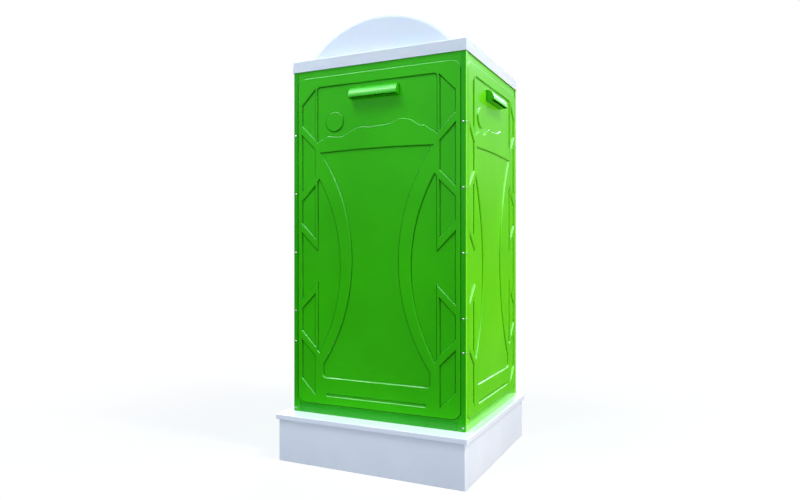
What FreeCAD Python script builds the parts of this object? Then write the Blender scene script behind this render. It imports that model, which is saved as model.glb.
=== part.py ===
import FreeCAD, Part
import math
import os

import Sketcher

from FreeCAD import Placement, Rotation, Vector

doc = FreeCAD.newDocument("portable_toilet")

# Driving dimensions in millimetres: alias, value, meaning.
SIZES = [
    ("cabin_width", 1100, "outer width of the cabin over the corner posts"),
    ("cabin_depth", 1100, "outer depth of the cabin over the corner posts"),
    ("wall_height", 2080, "deck top to the lower edge of the roof rim"),
    ("deck_thick", 30, "deck slab"),
    ("deck_side_lip", 48, "deck beyond the cabin at each side"),
    ("deck_front_lip", 45, "deck beyond the cabin at the door"),
    ("deck_back_lip", 127, "ledge of the deck behind the cabin"),
    ("deck_skin", 9, "top skin of the deck inside its solid border"),
    ("deck_round", 4, "round of the deck's edges"),
    ("deck_rib_drop", 60, "depth of the ribs under the deck"),
    ("deck_rib_wall", 8, "thickness of the ribs under the deck"),
    ("deck_rib_near", 185, "inner ribs from the middle"),
    ("deck_rib_far", 345, "outer ribs from the middle"),
    ("tank_height", 250, "floor to the underside of the deck"),
    ("tank_inset", 13, "tank wall inside the deck's edge"),
    ("tank_wall", 8, "moulded tank wall"),
    ("tank_flange", 30, "inward flange that carries the deck"),
    ("tank_round", 8, "round of the tank's upright edges"),
    ("post_leg", 28, "visible leg of a corner post"),
    ("post_wall", 4.5, "thickness of a post's outer leg"),
    ("post_core", 11.5, "solid corner of a post"),
    ("post_round", 5, "round of a post's outer edge"),
    ("grip_leg", 34, "inner leg of a post, behind the panel"),
    ("grip_wall", 3.5, "thickness of the inner leg"),
    ("foot_leg", 48, "wide foot of a post"),
    ("foot_height", 70, "height of that foot"),
    ("edge_gap", 0.5, "gap beside a panel edge"),
    ("rail_gap", 3, "open joint between a rail's end and the post's foot"),
    ("slip", 0.3, "clearance of a panel in its slot"),
    ("sheet", 4, "moulded wall sheet"),
    ("rail_height", 54, "outer leg of a bottom rail"),
    ("rail_grip", 40, "inner leg of a bottom rail"),
    ("rail_web", 4.5, "bottom web of a rail"),
    ("plateau_rise", 7, "raised field above the panel's edge"),
    ("plateau_side", 30, "side of the raised field from the cabin's edge"),
    ("plateau_top", 42, "top of the raised field below the roof rim"),
    ("plateau_foot", 60, "foot of the raised field above the deck"),
    ("plateau_round", 54, "corner round of the raised field"),
    ("bevel", 4.5, "width of every sloping edge of the relief"),
    ("recess", 8, "depth of the recesses in the raised field"),
    ("pocket_side", 57, "outer side of the side pockets"),
    ("pocket_span", 98, "width of the side pockets"),
    ("lens_side", 165, "straight side of the lens recess"),
    ("relief_middle", 893, "middle of the relief above the deck"),
    ("middle_half", 210, "half height of the middle pocket"),
    ("pocket_band", 49, "raised band between two side pockets"),
    ("short_pocket", 137, "outer height of the short pockets"),
    ("tall_pocket", 362, "outer height of the tall upper pocket"),
    ("top_pocket", 125, "outer height of the top pocket"),
    ("low_pocket", 242, "outer height of the lowest pocket"),
    ("lens_half", 529, "half height of the lens arc"),
    ("lens_start", 183, "ends of the lens arc from the cabin's edge"),
    ("lens_crown", 328, "crown of the lens arc from the cabin's edge"),
    ("waist_side", 183, "upper ends of the middle recess"),
    ("waist_crown", 396, "narrowest point of the middle recess"),
    ("waist_top", 687, "upper end of the middle recess above the middle"),
    ("waist_arch", 8, "rise of the middle recess's top edge"),
    ("waist_low_side", 205, "lower sides of the middle recess"),
    ("waist_low", 588, "lower end of the arcs below the middle"),
    ("waist_foot", 674, "lower edge of the middle recess below the middle"),
    ("waist_round", 22, "lower corner round of the middle recess"),
    ("window_side", 163, "sides of the top window recess"),
    ("window_top", 102, "top edge of the window recess below the roof rim"),
    ("window_round", 24, "top corner round of the window recess"),
    ("sun_side", 285, "middle of the sun disc from the cabin's edge"),
    ("sun_drop", 321, "middle of the sun disc below the roof rim"),
    ("sun_radius", 60, "sun disc"),
    ("ledge_side", 230, "ends of the low groove from the cabin's edge"),
    ("ledge_height", 120, "low groove above the deck"),
    ("ledge_wide", 22, "width of the low groove"),
    ("ledge_deep", 5, "depth of the low groove"),
    ("ledge_round", 9.5, "corner round of the low groove"),
    ("form_deep", 40, "solid of the forming block behind the panel's edge"),
    ("hood_width", 304, "vent hood"),
    ("hood_height", 66, "vent hood at the wall"),
    ("hood_lift", 6, "hood's lip above its foot at the wall"),
    ("hood_depth", 50, "vent hood's lip from the panel"),
    ("hood_drop", 135, "top of the hood below the roof rim"),
    ("hood_wall", 3, "hood wall"),
    ("hood_floor", 29, "hood's floor plate from the panel, up to the slot"),
    ("slot_wide", 16, "vent slot behind the hood"),
    ("slot_high", 38, "vent slot behind the hood"),
    ("slot_pitch", 28, "from slot to slot"),
    ("slot_count", 9, "slots behind a hood"),
    ("rivet_radius", 5.5, "rivet head"),
    ("rivet_height", 2.4, "rivet head"),
    ("rivet_side", 0.96, "upright side of a rivet head"),
    ("rivet_flat", 3.3, "radius of a rivet head's flat top"),
    ("rivet_inset", 15, "rivet from the cabin's edge"),
    ("rivet_first", 388, "top rivet below the roof rim"),
    ("rivet_pitch", 359, "from rivet to rivet"),
    ("rivet_extra", 429, "added lower rivet above the deck"),
    ("rivet_foot", 20, "foot rivet above the deck"),
    ("cap_rim", 67, "height of the roof's rim"),
    ("cap_wall", 4, "roof cap wall"),
    ("cap_round", 4, "round of the roof's edges"),
    ("dome_chord", 975, "width of the dome on the roof"),
    ("dome_rise", 243, "height of the dome above the roof"),
    ("dome_setback", 65, "dome's end from the roof's edge"),
    ("dome_round", 36, "round of the dome's end arches"),
    ("dome_wall", 4, "dome wall"),
    ("dome_flange", 20, "flange around the dome"),
    ("dome_seat", 30, "roof plate inside the dome's foot"),
    ("screw_radius", 6, "dome screw head"),
    ("screw_height", 3, "dome screw head"),
    ("door_width", 656, "door leaf"),
    ("header_drop", 136, "top of the door leaf below the roof rim"),
    ("door_thick", 40, "door leaf with its inner skin"),
    ("door_skin", 3.5, "outer door skin"),
    ("door_liner", 3, "inner door skin"),
    ("door_gap", 4, "gap around the door"),
    ("door_recess", 6, "recesses in the door"),
    ("door_margin", 60, "frame around the door's recesses"),
    ("door_head_panel", 300, "height of the door's top recess"),
    ("door_foot_panel", 220, "height of the door's low recess"),
    ("door_waist", 110, "how far the door's middle recess is drawn in"),
    ("door_round", 24, "corner round of the door's recesses"),
    ("stop_lip", 16, "stop lip around the door opening"),
    ("seal_room", 6, "between the door and the stop lip"),
    ("seal_wide", 10, "door seal"),
    ("threshold_top", 60, "threshold above the deck"),
    ("hinge_high", 100, "door hinge"),
    ("hinge_low_place", 320, "lowest hinge above the deck"),
    ("hinge_head", 44, "highest hinge below the top of the door leaf"),
    ("leaf_reach", 42, "hinge leaf from the pin"),
    ("knuckle_clear", 1.5, "room between a knuckle and the other leaf's edge"),
    ("tongue_bite", 0.5, "overlap of a knuckle's tongue with its leaf"),
    ("leaf_wall", 3, "hinge leaf"),
    ("barrel_radius", 7, "hinge barrel"),
    ("pin_radius", 4, "hinge pin"),
    ("run_fit", 0.05, "radial clearance of a turning fit"),
    ("handle_length", 220, "pull handle between its feet"),
    ("handle_reach", 42, "pull handle from the door's face"),
    ("handle_radius", 8, "pull handle bar"),
    ("handle_bend", 22, "bend of the pull handle"),
    ("handle_foot", 5, "round feet of the pull handle"),
    ("handle_foot_radius", 16, "round feet of the pull handle"),
    ("handle_inset", 143, "pull handle from the door's latch edge"),
    ("handle_place", 1000, "middle of the handles above the deck"),
    ("lock_inset", 64, "lock spindle from the door's latch edge"),
    ("lock_place", 1010, "lock spindle above the deck"),
    ("lock_case_wide", 76, "lock case"),
    ("lock_case_high", 110, "lock case"),
    ("lock_case_deep", 26, "lock case"),
    ("lock_case_inset", 22, "lock case from the door's latch edge"),
    ("lock_case_below", 68, "lock case below the spindle"),
    ("lock_case_round", 8, "upright edges of the lock case"),
    ("spindle_radius", 6, "lock spindle"),
    ("bolt_clear", 0.5, "bolt behind the strike plate"),
    ("lever_gap", 1, "lever off the lock case"),
    ("lever_deep", 12, "lock lever"),
    ("lever_hub", 16, "radius of the lever's hub"),
    ("lever_wide", 14, "lock lever"),
    ("lever_long", 62, "lock lever"),
    ("lever_tail", 10, "lever below the spindle"),
    ("bolt_drop", 28, "bolt below the spindle"),
    ("bolt_high", 16, "latch bolt"),
    ("bolt_deep", 10, "latch bolt"),
    ("bolt_long", 60, "latch bolt"),
    ("strike_wall", 2, "strike plate"),
    ("strike_high", 70, "strike plate"),
    ("dial_radius", 22, "indicator disc"),
    ("dial_thick", 3, "indicator disc"),
    ("dial_gap", 1, "indicator disc off the door's skin"),
    ("coin_long", 26, "coin slot of the indicator"),
    ("coin_wide", 3, "coin slot of the indicator"),
    ("coin_deep", 1.5, "coin slot of the indicator"),
    ("bezel_radius", 30, "ring around the indicator"),
    ("bezel_thick", 6, "ring around the indicator"),
    ("bezel_gap", 0.4, "ring to the indicator disc"),
    ("bezel_round", 2, "round of the ring's edges"),
    ("riser_width", 440, "toilet pedestal at the deck"),
    ("riser_depth", 500, "toilet pedestal at the deck"),
    ("riser_top_width", 410, "toilet pedestal at the top"),
    ("riser_top_depth", 480, "toilet pedestal at the top"),
    ("riser_height", 400, "toilet pedestal"),
    ("riser_wall", 5, "pedestal wall"),
    ("riser_back", 60, "pedestal's back from the cabin's outer face"),
    ("riser_round", 90, "corner round of the pedestal"),
    ("drop_radius", 130, "drop hole in the deck"),
    ("funnel_ledge", 6, "funnel's bore inside the drop hole's edge"),
    ("funnel_wall", 8, "funnel wall"),
    ("seat_width", 360, "toilet seat"),
    ("seat_depth", 420, "toilet seat"),
    ("seat_hole_width", 215, "opening of the seat"),
    ("seat_hole_depth", 275, "opening of the seat"),
    ("seat_thick", 20, "toilet seat"),
    ("seat_round", 7, "round of the seat's upper edges"),
    ("seat_forward", 20, "seat's middle ahead of the pedestal's"),
    ("lid_thick", 12, "seat lid"),
    ("lid_round", 5, "round of the lid's upper edge"),
    ("lid_arm_start", 140, "start of the lid's arms behind the pedestal's middle"),
    ("lid_arm_thick", 9, "arm of the lid"),
    ("lid_over", 5, "lid beyond the seat all round"),
    ("lid_axis_back", 212, "lid hinge behind the pedestal's middle"),
    ("lid_axis_up", 30, "lid hinge above the pedestal"),
    ("lid_pin_radius", 5, "lid hinge pin"),
    ("lid_pin_proud", 3, "lid hinge pin beyond its brackets"),
    ("lug_side", 75, "lid lug from the middle"),
    ("lug_wide", 24, "lid lug"),
    ("lug_radius", 9, "barrel of a lid lug"),
    ("bracket_side", 100, "hinge bracket from the middle"),
    ("bracket_wide", 18, "hinge bracket"),
    ("bracket_deep", 24, "hinge bracket"),
    ("mat_thick", 2, "floor mat"),
    ("mat_bar_wide", 20, "tread bar"),
    ("mat_bar_high", 2, "tread bar"),
    ("mat_bar_pitch", 48, "from tread bar to tread bar"),
    ("mat_edge", 40, "mat from the cabin's outer faces"),
    ("pipe_radius", 55, "vent pipe"),
    ("pipe_wall", 3.2, "vent pipe"),
    ("pipe_side", 106, "vent pipe's axis from the side wall"),
    ("pipe_back", 82, "vent pipe's axis from the back wall"),
    ("pipe_top", 2050, "vent pipe's top above the deck"),
    ("pipe_dip", 40, "vent pipe below the deck"),
    ("clip_high", 30, "pipe clip"),
    ("clip_wall", 4, "pipe clip"),
    ("clip_plate", 60, "pipe clip's foot plate"),
    ("clip_neck", 20, "pipe clip's neck"),
    ("roll_radius", 55, "paper roll"),
    ("roll_width", 100, "paper roll"),
    ("core_radius", 20, "bore of the paper roll"),
    ("roll_place", 700, "paper roll above the deck"),
    ("roll_reach", 65, "paper roll's axis from the wall panel"),
    ("arm_wall", 4, "arm of the paper holder"),
    ("arm_high", 28, "arm of the paper holder"),
    ("arm_play", 5, "arm beside the paper roll"),
    ("holder_high", 50, "plate of the paper holder"),
    ("holder_thick", 3, "plate of the paper holder"),
    ("core_gap", 0.3, "spindle barrel in the roll's core"),
    ("barrel_play", 0.5, "spindle barrel beside the arms"),
    ("journal_proud", 2, "spindle end beyond the arms"),
    ("journal_radius", 6, "end of the paper spindle"),
    ("hook_drop", 294, "coat hook below the top of the door leaf"),
    ("hook_radius", 4, "coat hook's rod"),
    ("hook_knob", 6.4, "knob at the coat hook's tip"),
    ("hook_plate_wide", 34, "coat hook's plate"),
    ("hook_plate_high", 60, "coat hook's plate"),
    ("hook_plate_below", 22, "coat hook's plate below the rod"),
    ("hook_plate_thick", 3, "coat hook's plate"),
    ("hook_bend", 18, "coat hook's bend"),
]

sheet_object = doc.addObject("Spreadsheet::Sheet", "Sizes")
for row, (alias, value, meaning) in enumerate(SIZES, start=1):
    sheet_object.set("A%d" % row, alias)
    sheet_object.set("B%d" % row, str(value))
    sheet_object.set("C%d" % row, meaning)
    sheet_object.setAlias("B%d" % row, alias)
doc.recompute()

ALIASES = sorted((alias for alias, value, meaning in SIZES), key=len, reverse=True)


def bound(text):
    """Write a formula of plain size names as an expression on the sheet."""
    words = []
    word = ""
    for letter in text + " ":
        if letter.isalnum() or letter == "_" or (letter == "." and word):
            word += letter
        else:
            words.append("Sizes." + word if word in ALIASES else word)
            words.append(letter)
            word = ""
    return "".join(words).strip()


def num(text):
    """Give the present value of a formula of size names."""
    return float(sheet_object.evalExpression(bound(text)))


# Places that several pieces share, as formulas of the sizes above.
DECK_TOP = "(tank_height + deck_thick)"
CABIN_Y = "((deck_front_lip - deck_back_lip) / 2)"
DECK_WIDTH = "(cabin_width + 2 * deck_side_lip)"
DECK_DEPTH = "(cabin_depth + deck_front_lip + deck_back_lip)"
TANK_WIDTH = "(" + DECK_WIDTH + " - 2 * tank_inset)"
TANK_DEPTH = "(" + DECK_DEPTH + " - 2 * tank_inset)"
HOLLOW_X = "(" + TANK_WIDTH + " / 2 - tank_wall - tank_flange - slip)"
HOLLOW_Y = "(" + TANK_DEPTH + " / 2 - tank_wall - tank_flange - slip)"
WALL_TOP = "(wall_height + cap_rim - cap_wall)"
EDGE_LEVEL = "(0 - post_wall - slip)"
PLATEAU_LEVEL = "(" + EDGE_LEVEL + " + plateau_rise)"
FLOOR_LEVEL = "(" + PLATEAU_LEVEL + " - recess)"
LINING_LEVEL = "(" + FLOOR_LEVEL + " - sheet)"
PANEL_GAP = "(post_core + edge_gap)"
OPEN_HALF = "(door_width / 2 + door_gap)"
DOOR_FOOT = "(threshold_top + door_gap)"
DOOR_BACK = "(" + EDGE_LEVEL + " - door_thick)"
LIP_FRONT = "(" + DOOR_BACK + " - seal_room)"
LIP_BACK = "(" + LIP_FRONT + " - sheet)"
DOOR_HIGH = "(wall_height - header_drop - " + DOOR_FOOT + ")"
OPEN_TOP = "(wall_height - header_drop + door_gap)"
HINGE_STEP = "((wall_height - header_drop - hinge_head - hinge_high - hinge_low_place) / 2)"
HINGE_X = "(0 - door_width / 2 - door_gap / 2)"
LOCK_X = "(door_width / 2 - lock_inset)"
CASE_X = "(door_width / 2 - lock_case_inset)"
HANDLE_X = "(door_width / 2 - handle_inset)"
HINGE_OUT = "(" + EDGE_LEVEL + " + barrel_radius + 0.5)"
RISER_Y = "(" + CABIN_Y + " + cabin_depth / 2 - riser_back - riser_depth / 2)"
RISER_TOP = "(" + DECK_TOP + " + riser_height)"
LID_AXIS_Y = "(" + RISER_Y + " + lid_axis_back)"
LID_AXIS_Z = "(" + RISER_TOP + " + lid_axis_up)"
PIPE_X = "(pipe_side - cabin_width / 2)"
PIPE_Y = "(" + CABIN_Y + " + cabin_depth / 2 - pipe_back)"

subparts = []


def publish(item, label):
    """Name a finished sub-part and put it on the list that is written out."""
    item.Label = label
    subparts.append(item)
    return item


def bind(item, **formulas):
    """Tie properties to formulas of the sizes."""
    for name, formula in formulas.items():
        item.setExpression(name, bound(formula))
    return item


def place(item, x="0", y="0", z="0", turn=None):
    """Put a piece at a place given by formulas."""
    if turn is not None:
        item.Placement = Placement(Vector(0, 0, 0), turn)
    for axis, formula in (("x", x), ("y", y), ("z", z)):
        item.setExpression(".Placement.Base." + axis, bound(formula))
    return item


# A wall's own frame: x to the right as seen from outside, y up from the deck,
# z outward from the cabin's outer face.
FACE_TURN = Rotation(Vector(0, 1, 1), 180)
WALLS = {
    "back": (0, "0", CABIN_Y + " + cabin_depth / 2"),
    "left": (90, "0 - cabin_width / 2", CABIN_Y),
    "right": (-90, "cabin_width / 2", CABIN_Y),
    "front": (180, "0", CABIN_Y + " - cabin_depth / 2"),
}


def on_wall(item, wall):
    """Stand a piece that is modelled in a wall's frame on that wall."""
    angle, x, y = WALLS[wall]
    turn = Rotation(Vector(0, 0, 1), angle) * FACE_TURN
    return place(item, x, y, DECK_TOP, turn)


def body(name):
    return doc.addObject("PartDesign::Body", name)


def sketch(owner, role, offset="0"):
    """A sketch on one of the body's own planes, lifted by a formula."""
    item = owner.newObject("Sketcher::SketchObject", owner.Name + "_sketch")
    plane = [part for part in owner.Origin.OriginFeatures if part.Role == role][0]
    item.AttachmentSupport = [(plane, "")]
    item.MapMode = "FlatFace"
    item.setExpression(".AttachmentOffset.Base.z", bound(offset))
    return item


def tie(item, kind, *where):
    """Add a driving constraint whose value is a formula."""
    formula = where[-1]
    index = item.addConstraint(Sketcher.Constraint(kind, *where[:-1], num(formula)))
    item.setExpression("Constraints[%d]" % index, bound(formula))


def outline(item, corners):
    """Draw a closed outline whose corners are pairs of formulas."""
    first = item.GeometryCount
    points = [Vector(num(x), num(y), 0) for x, y in corners]
    count = len(points)
    for index in range(count):
        line = Part.LineSegment(points[index], points[(index + 1) % count])
        item.addGeometry(line, False)
    for index in range(count):
        here = first + index
        after = first + (index + 1) % count
        item.addConstraint(Sketcher.Constraint("Coincident", here, 2, after, 1))
        tie(item, "DistanceX", -1, 1, here, 1, corners[index][0])
        tie(item, "DistanceY", -1, 1, here, 1, corners[index][1])


def rectangle(item, left, low, right, high):
    outline(item, [(left, low), (right, low), (right, high), (left, high)])


def circle(item, x, y, radius):
    round_edge = Part.Circle(Vector(num(x), num(y), 0), Vector(0, 0, 1), num(radius))
    index = item.addGeometry(round_edge, False)
    tie(item, "DistanceX", -1, 1, index, 3, x)
    tie(item, "DistanceY", -1, 1, index, 3, y)
    tie(item, "Radius", index, radius)


def pad(owner, profile, length, reverse=False, middle=False):
    item = owner.newObject("PartDesign::Pad", owner.Name + "_pad")
    item.Profile = profile
    item.Reversed = reverse
    item.Midplane = middle
    bind(item, Length=length)
    doc.recompute()
    return item


def pocket(owner, profile, depth, reverse=False, middle=False):
    """Cut a pocket and make sure that it took material away."""
    before = owner.Shape.Volume
    item = owner.newObject("PartDesign::Pocket", owner.Name + "_pocket")
    item.Profile = profile
    item.Reversed = reverse
    item.Midplane = middle
    bind(item, Length=depth)
    doc.recompute()
    if owner.Shape.Volume > before - 1:
        raise ValueError("a pocket cuts nothing in " + owner.Name)
    return item


def round_edges(owner, base, chosen, radius):
    """Round the chosen edges of a body's last feature."""
    names = []
    for index, edge in enumerate(base.Shape.Edges, start=1):
        if chosen(edge):
            names.append("Edge%d" % index)
    item = owner.newObject("PartDesign::Fillet", owner.Name + "_round")
    item.Base = (base, names)
    bind(item, Radius=radius)
    doc.recompute()
    return item


def runs_along(edge, axis):
    """True for a straight edge parallel to an axis."""
    if edge.Curve.TypeId != "Part::GeomLine":
        return False
    way = edge.Vertexes[-1].Point - edge.Vertexes[0].Point
    return abs(way.dot(axis)) > 0.999 * way.Length


def brick(name, x, y, z, long, wide, high):
    """A plain block with its low corner at a place."""
    item = doc.addObject("Part::Box", name)
    bind(item, Length=long, Width=wide, Height=high)
    return place(item, x, y, z)


AXIS_TURNS = {
    "x": Rotation(Vector(0, 1, 0), 90),
    "y": Rotation(Vector(1, 0, 0), -90),
    "z": Rotation(),
}


def rod(name, axis, x, y, z, radius, length):
    """A cylinder that starts at a place and runs along an axis."""
    item = doc.addObject("Part::Cylinder", name)
    bind(item, Radius=radius, Height=length)
    return place(item, x, y, z, AXIS_TURNS[axis])


def joined(name, pieces):
    item = doc.addObject("Part::MultiFuse", name)
    item.Shapes = pieces
    item.Refine = True
    return item


def cut(name, base, *tools):
    item = doc.addObject("Part::Cut", name)
    item.Base = base
    item.Tool = tools[0] if len(tools) == 1 else joined(name + "_tools", list(tools))
    return item


def group(name, pieces):
    """Several separate solids that are kept as one sub-part."""
    item = doc.addObject("Part::Compound", name)
    item.Links = pieces
    return item


def feature(name, shape):
    item = doc.addObject("Part::Feature", name)
    item.Shape = shape
    return item


def path_of(points):
    """Join points by lines; a pair of points after the first is an arc's middle and end."""
    edges = []
    here = points[0]
    for item in points[1:] + [points[0]]:
        if isinstance(item, tuple):
            edges.append(Part.Arc(here, item[0], item[1]).toShape())
            here = item[1]
        elif (item - here).Length > 1e-6:
            edges.append(Part.makeLine(here, item))
            here = item
    return Part.Wire(edges)


def rounded_wire(left, low, right, high, radius, level):
    """A rectangle with round corners at a level."""
    bulge = radius * (1 - math.sqrt(0.5))

    points = [
        Vector(left + radius, low, level),
        Vector(right - radius, low, level),
        (Vector(right - bulge, low + bulge, level), Vector(right, low + radius, level)),
        Vector(right, high - radius, level),
        (Vector(right - bulge, high - bulge, level), Vector(right - radius, high, level)),
        Vector(left + radius, high, level),
        (Vector(left + bulge, high - bulge, level), Vector(left, high - radius, level)),
        Vector(left, low + radius, level),
        (Vector(left + bulge, low + bulge, level), Vector(left + radius, low, level)),
    ]
    return path_of(points)


def tapered(wire, rise, inset):
    """A block on an outline whose sides lean inward over its rise."""
    shrunk = Part.Face(wire).makeOffset2D(-inset, join=2).OuterWire
    shrunk.translate(Vector(0, 0, rise))
    return Part.makeLoft([wire, shrunk], True, True)


def waste_tank():
    """An open tub with an inward flange that carries the deck."""
    tub = body("waste_tank")
    half_x = TANK_WIDTH + " / 2"
    half_y = TANK_DEPTH + " / 2"
    plan = sketch(tub, "XY_Plane")
    rectangle(plan, "0 - " + half_x, "0 - " + half_y, half_x, half_y)
    block = pad(tub, plan, "tank_height")
    round_edges(tub, block, lambda edge: runs_along(edge, Vector(0, 0, 1)), "tank_round")
    inner_x = "(" + half_x + " - tank_wall)"
    inner_y = "(" + half_y + " - tank_wall)"
    cavity = sketch(tub, "XY_Plane", "tank_wall")
    rectangle(cavity, "0 - " + inner_x, "0 - " + inner_y, inner_x, inner_y)
    pocket(tub, cavity, "tank_height", reverse=True)
    ring = sketch(tub, "XY_Plane", "tank_height - tank_wall")
    rectangle(ring, "0 - " + inner_x, "0 - " + inner_y, inner_x, inner_y)
    rim_x = "(" + inner_x + " - tank_flange)"
    rim_y = "(" + inner_y + " - tank_flange)"
    rectangle(ring, "0 - " + rim_x, "0 - " + rim_y, rim_x, rim_y)
    pad(tub, ring, "tank_wall")
    publish(tub, "waste_tank")


def base_deck():
    """The tray that closes the tank, with the drop and pipe holes."""
    slab = body("base_deck")
    half_x = DECK_WIDTH + " / 2"
    half_y = DECK_DEPTH + " / 2"
    plan = sketch(slab, "XY_Plane")
    rectangle(plan, "0 - " + half_x, "0 - " + half_y, half_x, half_y)
    plate = pad(slab, plan, "deck_thick")

    def outer_top(edge):
        return edge.BoundBox.ZMin > num("deck_thick") - 0.01 or runs_along(edge, Vector(0, 0, 1))

    round_edges(slab, plate, outer_top, "deck_round")
    hollow = sketch(slab, "XY_Plane")
    rectangle(hollow, "0 - " + HOLLOW_X, "0 - " + HOLLOW_Y, HOLLOW_X, HOLLOW_Y)
    pocket(slab, hollow, "deck_thick - deck_skin", reverse=True)
    holes = sketch(slab, "XY_Plane")
    circle(holes, "0", RISER_Y, "drop_radius")
    circle(holes, PIPE_X, PIPE_Y, "pipe_radius + slip")
    pocket(slab, holes, "deck_thick", reverse=True)
    place(slab, z="tank_height")
    publish(slab, "base_deck")


def deck_joists():
    """Four bars under the deck's skin that carry it across the tank."""
    bars = []
    for side in ("deck_rib_near", "deck_rib_far"):
        for sign in ("", "0 - "):
            x = sign + side + " - deck_rib_wall / 2"
            y = "slip - " + HOLLOW_Y
            z = DECK_TOP + " - deck_thick - deck_rib_drop"
            high = "deck_thick - deck_skin + deck_rib_drop"
            bars.append(brick("joist", x, y, z, "deck_rib_wall", "2 * (" + HOLLOW_Y + " - slip)", high))
    publish(group("deck_joists", bars), "deck_joists")


def floor_mat():
    """The anti-slip mat in front of the pedestal, with raised tread bars."""
    mat = body("floor_mat")
    half = "(cabin_width / 2 - mat_edge)"
    front = "(" + CABIN_Y + " - cabin_depth / 2 - " + LIP_BACK + " + 20)"
    back = "(" + RISER_Y + " - riser_depth / 2 - 10)"
    plan = sketch(mat, "XY_Plane")
    rectangle(plan, "0 - " + half, front, half, back)
    pad(mat, plan, "mat_thick")
    bar = sketch(mat, "XY_Plane", "mat_thick")
    rectangle(bar, "20 - " + half, front + " + 20", half + " - 20", front + " + 20 + mat_bar_wide")
    first = pad(mat, bar, "mat_bar_high")
    room = num(back + " - " + front + " - 40 - mat_bar_wide")
    bars = int(room / num("mat_bar_pitch")) + 1
    rows = mat.newObject("PartDesign::LinearPattern", "mat_rows")
    rows.Originals = [first]
    rows.Direction = (bar, ["V_Axis"])
    rows.Mode = "Spacing"
    bind(rows, Offset="mat_bar_pitch")
    rows.Occurrences = bars
    mat.Tip = rows
    doc.recompute()
    place(mat, z=DECK_TOP)
    publish(mat, "floor_mat")


def corner_post(label, side, back):
    """A moulded corner: outer leg, slot for the panels, inner leg and a wide foot."""
    post = body(label)

    def corner(x, y):
        return (
            "%d * (cabin_width / 2 - %s)" % (side, x),
            CABIN_Y + " + %d * (cabin_depth / 2 - %s)" % (back, y),
        )

    grip = "(post_wall + sheet + 2 * slip)"
    inner = "(" + grip + " + grip_wall)"
    profile = sketch(post, "XY_Plane")
    outline(profile, [
        corner("0", "0"),
        corner("post_leg", "0"),
        corner("post_leg", "post_wall"),
        corner("post_core", "post_wall"),
        corner("post_core", grip),
        corner("grip_leg", grip),
        corner("grip_leg", inner),
        corner(inner, inner),
        corner(inner, "grip_leg"),
        corner(grip, "grip_leg"),
        corner(grip, "post_core"),
        corner("post_wall", "post_core"),
        corner("post_wall", "post_leg"),
        corner("0", "post_leg"),
    ])
    pad(post, profile, WALL_TOP)
    foot = sketch(post, "XY_Plane")
    outline(foot, [
        corner("0", "0"),
        corner("foot_leg", "0"),
        corner("foot_leg", "post_wall"),
        corner("post_wall", "post_wall"),
        corner("post_wall", "foot_leg"),
        corner("0", "foot_leg"),
    ])
    heel = pad(post, foot, "foot_height")
    tip = corner("0", "0")
    edge_place = Vector(num(tip[0]), num(tip[1]), 0)

    def outer_edge(edge):
        start = edge.Vertexes[0].Point
        near = math.hypot(start.x - edge_place.x, start.y - edge_place.y) < 0.01
        return near and runs_along(edge, Vector(0, 0, 1))

    round_edges(post, heel, outer_edge, "post_round")
    place(post, z=DECK_TOP)
    publish(post, label)


def bottom_rail(label, wall):
    """A channel that holds the foot of a panel between two posts."""
    rail = body(label)
    span = "cabin_depth" if wall in ("left", "right") else "cabin_width"
    grip = "(post_wall + sheet + 2 * slip)"
    profile = sketch(rail, "YZ_Plane")
    outline(profile, [
        ("0", "0"),
        ("rail_height", "0"),
        ("rail_height", "0 - post_wall"),
        ("rail_web", "0 - post_wall"),
        ("rail_web", "0 - " + grip),
        ("rail_grip", "0 - " + grip),
        ("rail_grip", "0 - " + grip + " - grip_wall"),
        ("0", "0 - " + grip + " - grip_wall"),
    ])
    pad(rail, profile, span + " - 2 * foot_leg - 2 * rail_gap", middle=True)
    on_wall(rail, wall)
    publish(rail, label)


def side_pocket(width, outer_low, outer_high, low_lean, high_lean):
    """One pocket beside the cabin's edge; a lean of 1 widens it inward, -1 narrows it."""
    near = num("pocket_side") - width / 2
    far = near + num("pocket_span")
    span = num("pocket_span")
    return [
        Vector(near, outer_low, 0),
        Vector(far, outer_low - low_lean * span, 0),
        Vector(far, outer_high + high_lean * span, 0),
        Vector(near, outer_high, 0),
    ]


def lens(width):
    """The middle side pocket, which opens into the lens between the rib and the arc."""
    middle = num("relief_middle")
    near = num("pocket_side") - width / 2
    rib = num("lens_side") - width / 2
    ends = num("lens_start") - width / 2
    crown = num("lens_crown") - width / 2
    half = num("lens_half")
    mouth = num("middle_half")
    lean = rib - near
    step = ends - rib
    return [
        Vector(near, middle + mouth, 0),
        Vector(rib, middle + mouth - lean, 0),
        Vector(rib, middle + half - step, 0),
        Vector(ends, middle + half, 0),
        (Vector(crown, middle, 0), Vector(ends, middle - half, 0)),
        Vector(rib, middle - half + step, 0),
        Vector(rib, middle - mouth + lean, 0),
        Vector(near, middle - mouth, 0),
    ]


def middle_recess(width):
    """The tall recess drawn in at its waist by two arcs."""
    middle = num("relief_middle")
    upper = width / 2 - num("waist_side")
    lower = width / 2 - num("waist_low_side")
    waist = width / 2 - num("waist_crown")
    top = middle + num("waist_top")
    low = middle - num("waist_low")
    foot = middle - num("waist_foot")
    radius = num("waist_round")
    bulge = radius * (1 - math.sqrt(0.5))
    return [
        Vector(-upper, top, 0),
        (Vector(0, top + num("waist_arch"), 0), Vector(upper, top, 0)),
        (Vector(waist, middle, 0), Vector(lower, low, 0)),
        Vector(lower, foot + radius, 0),
        (Vector(lower - bulge, foot + bulge, 0), Vector(lower - radius, foot, 0)),
        Vector(radius - lower, foot, 0),
        (Vector(bulge - lower, foot + bulge, 0), Vector(-lower, foot + radius, 0)),
        Vector(-lower, low, 0),
        (Vector(-waist, middle, 0), Vector(-upper, top, 0)),
    ]


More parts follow.
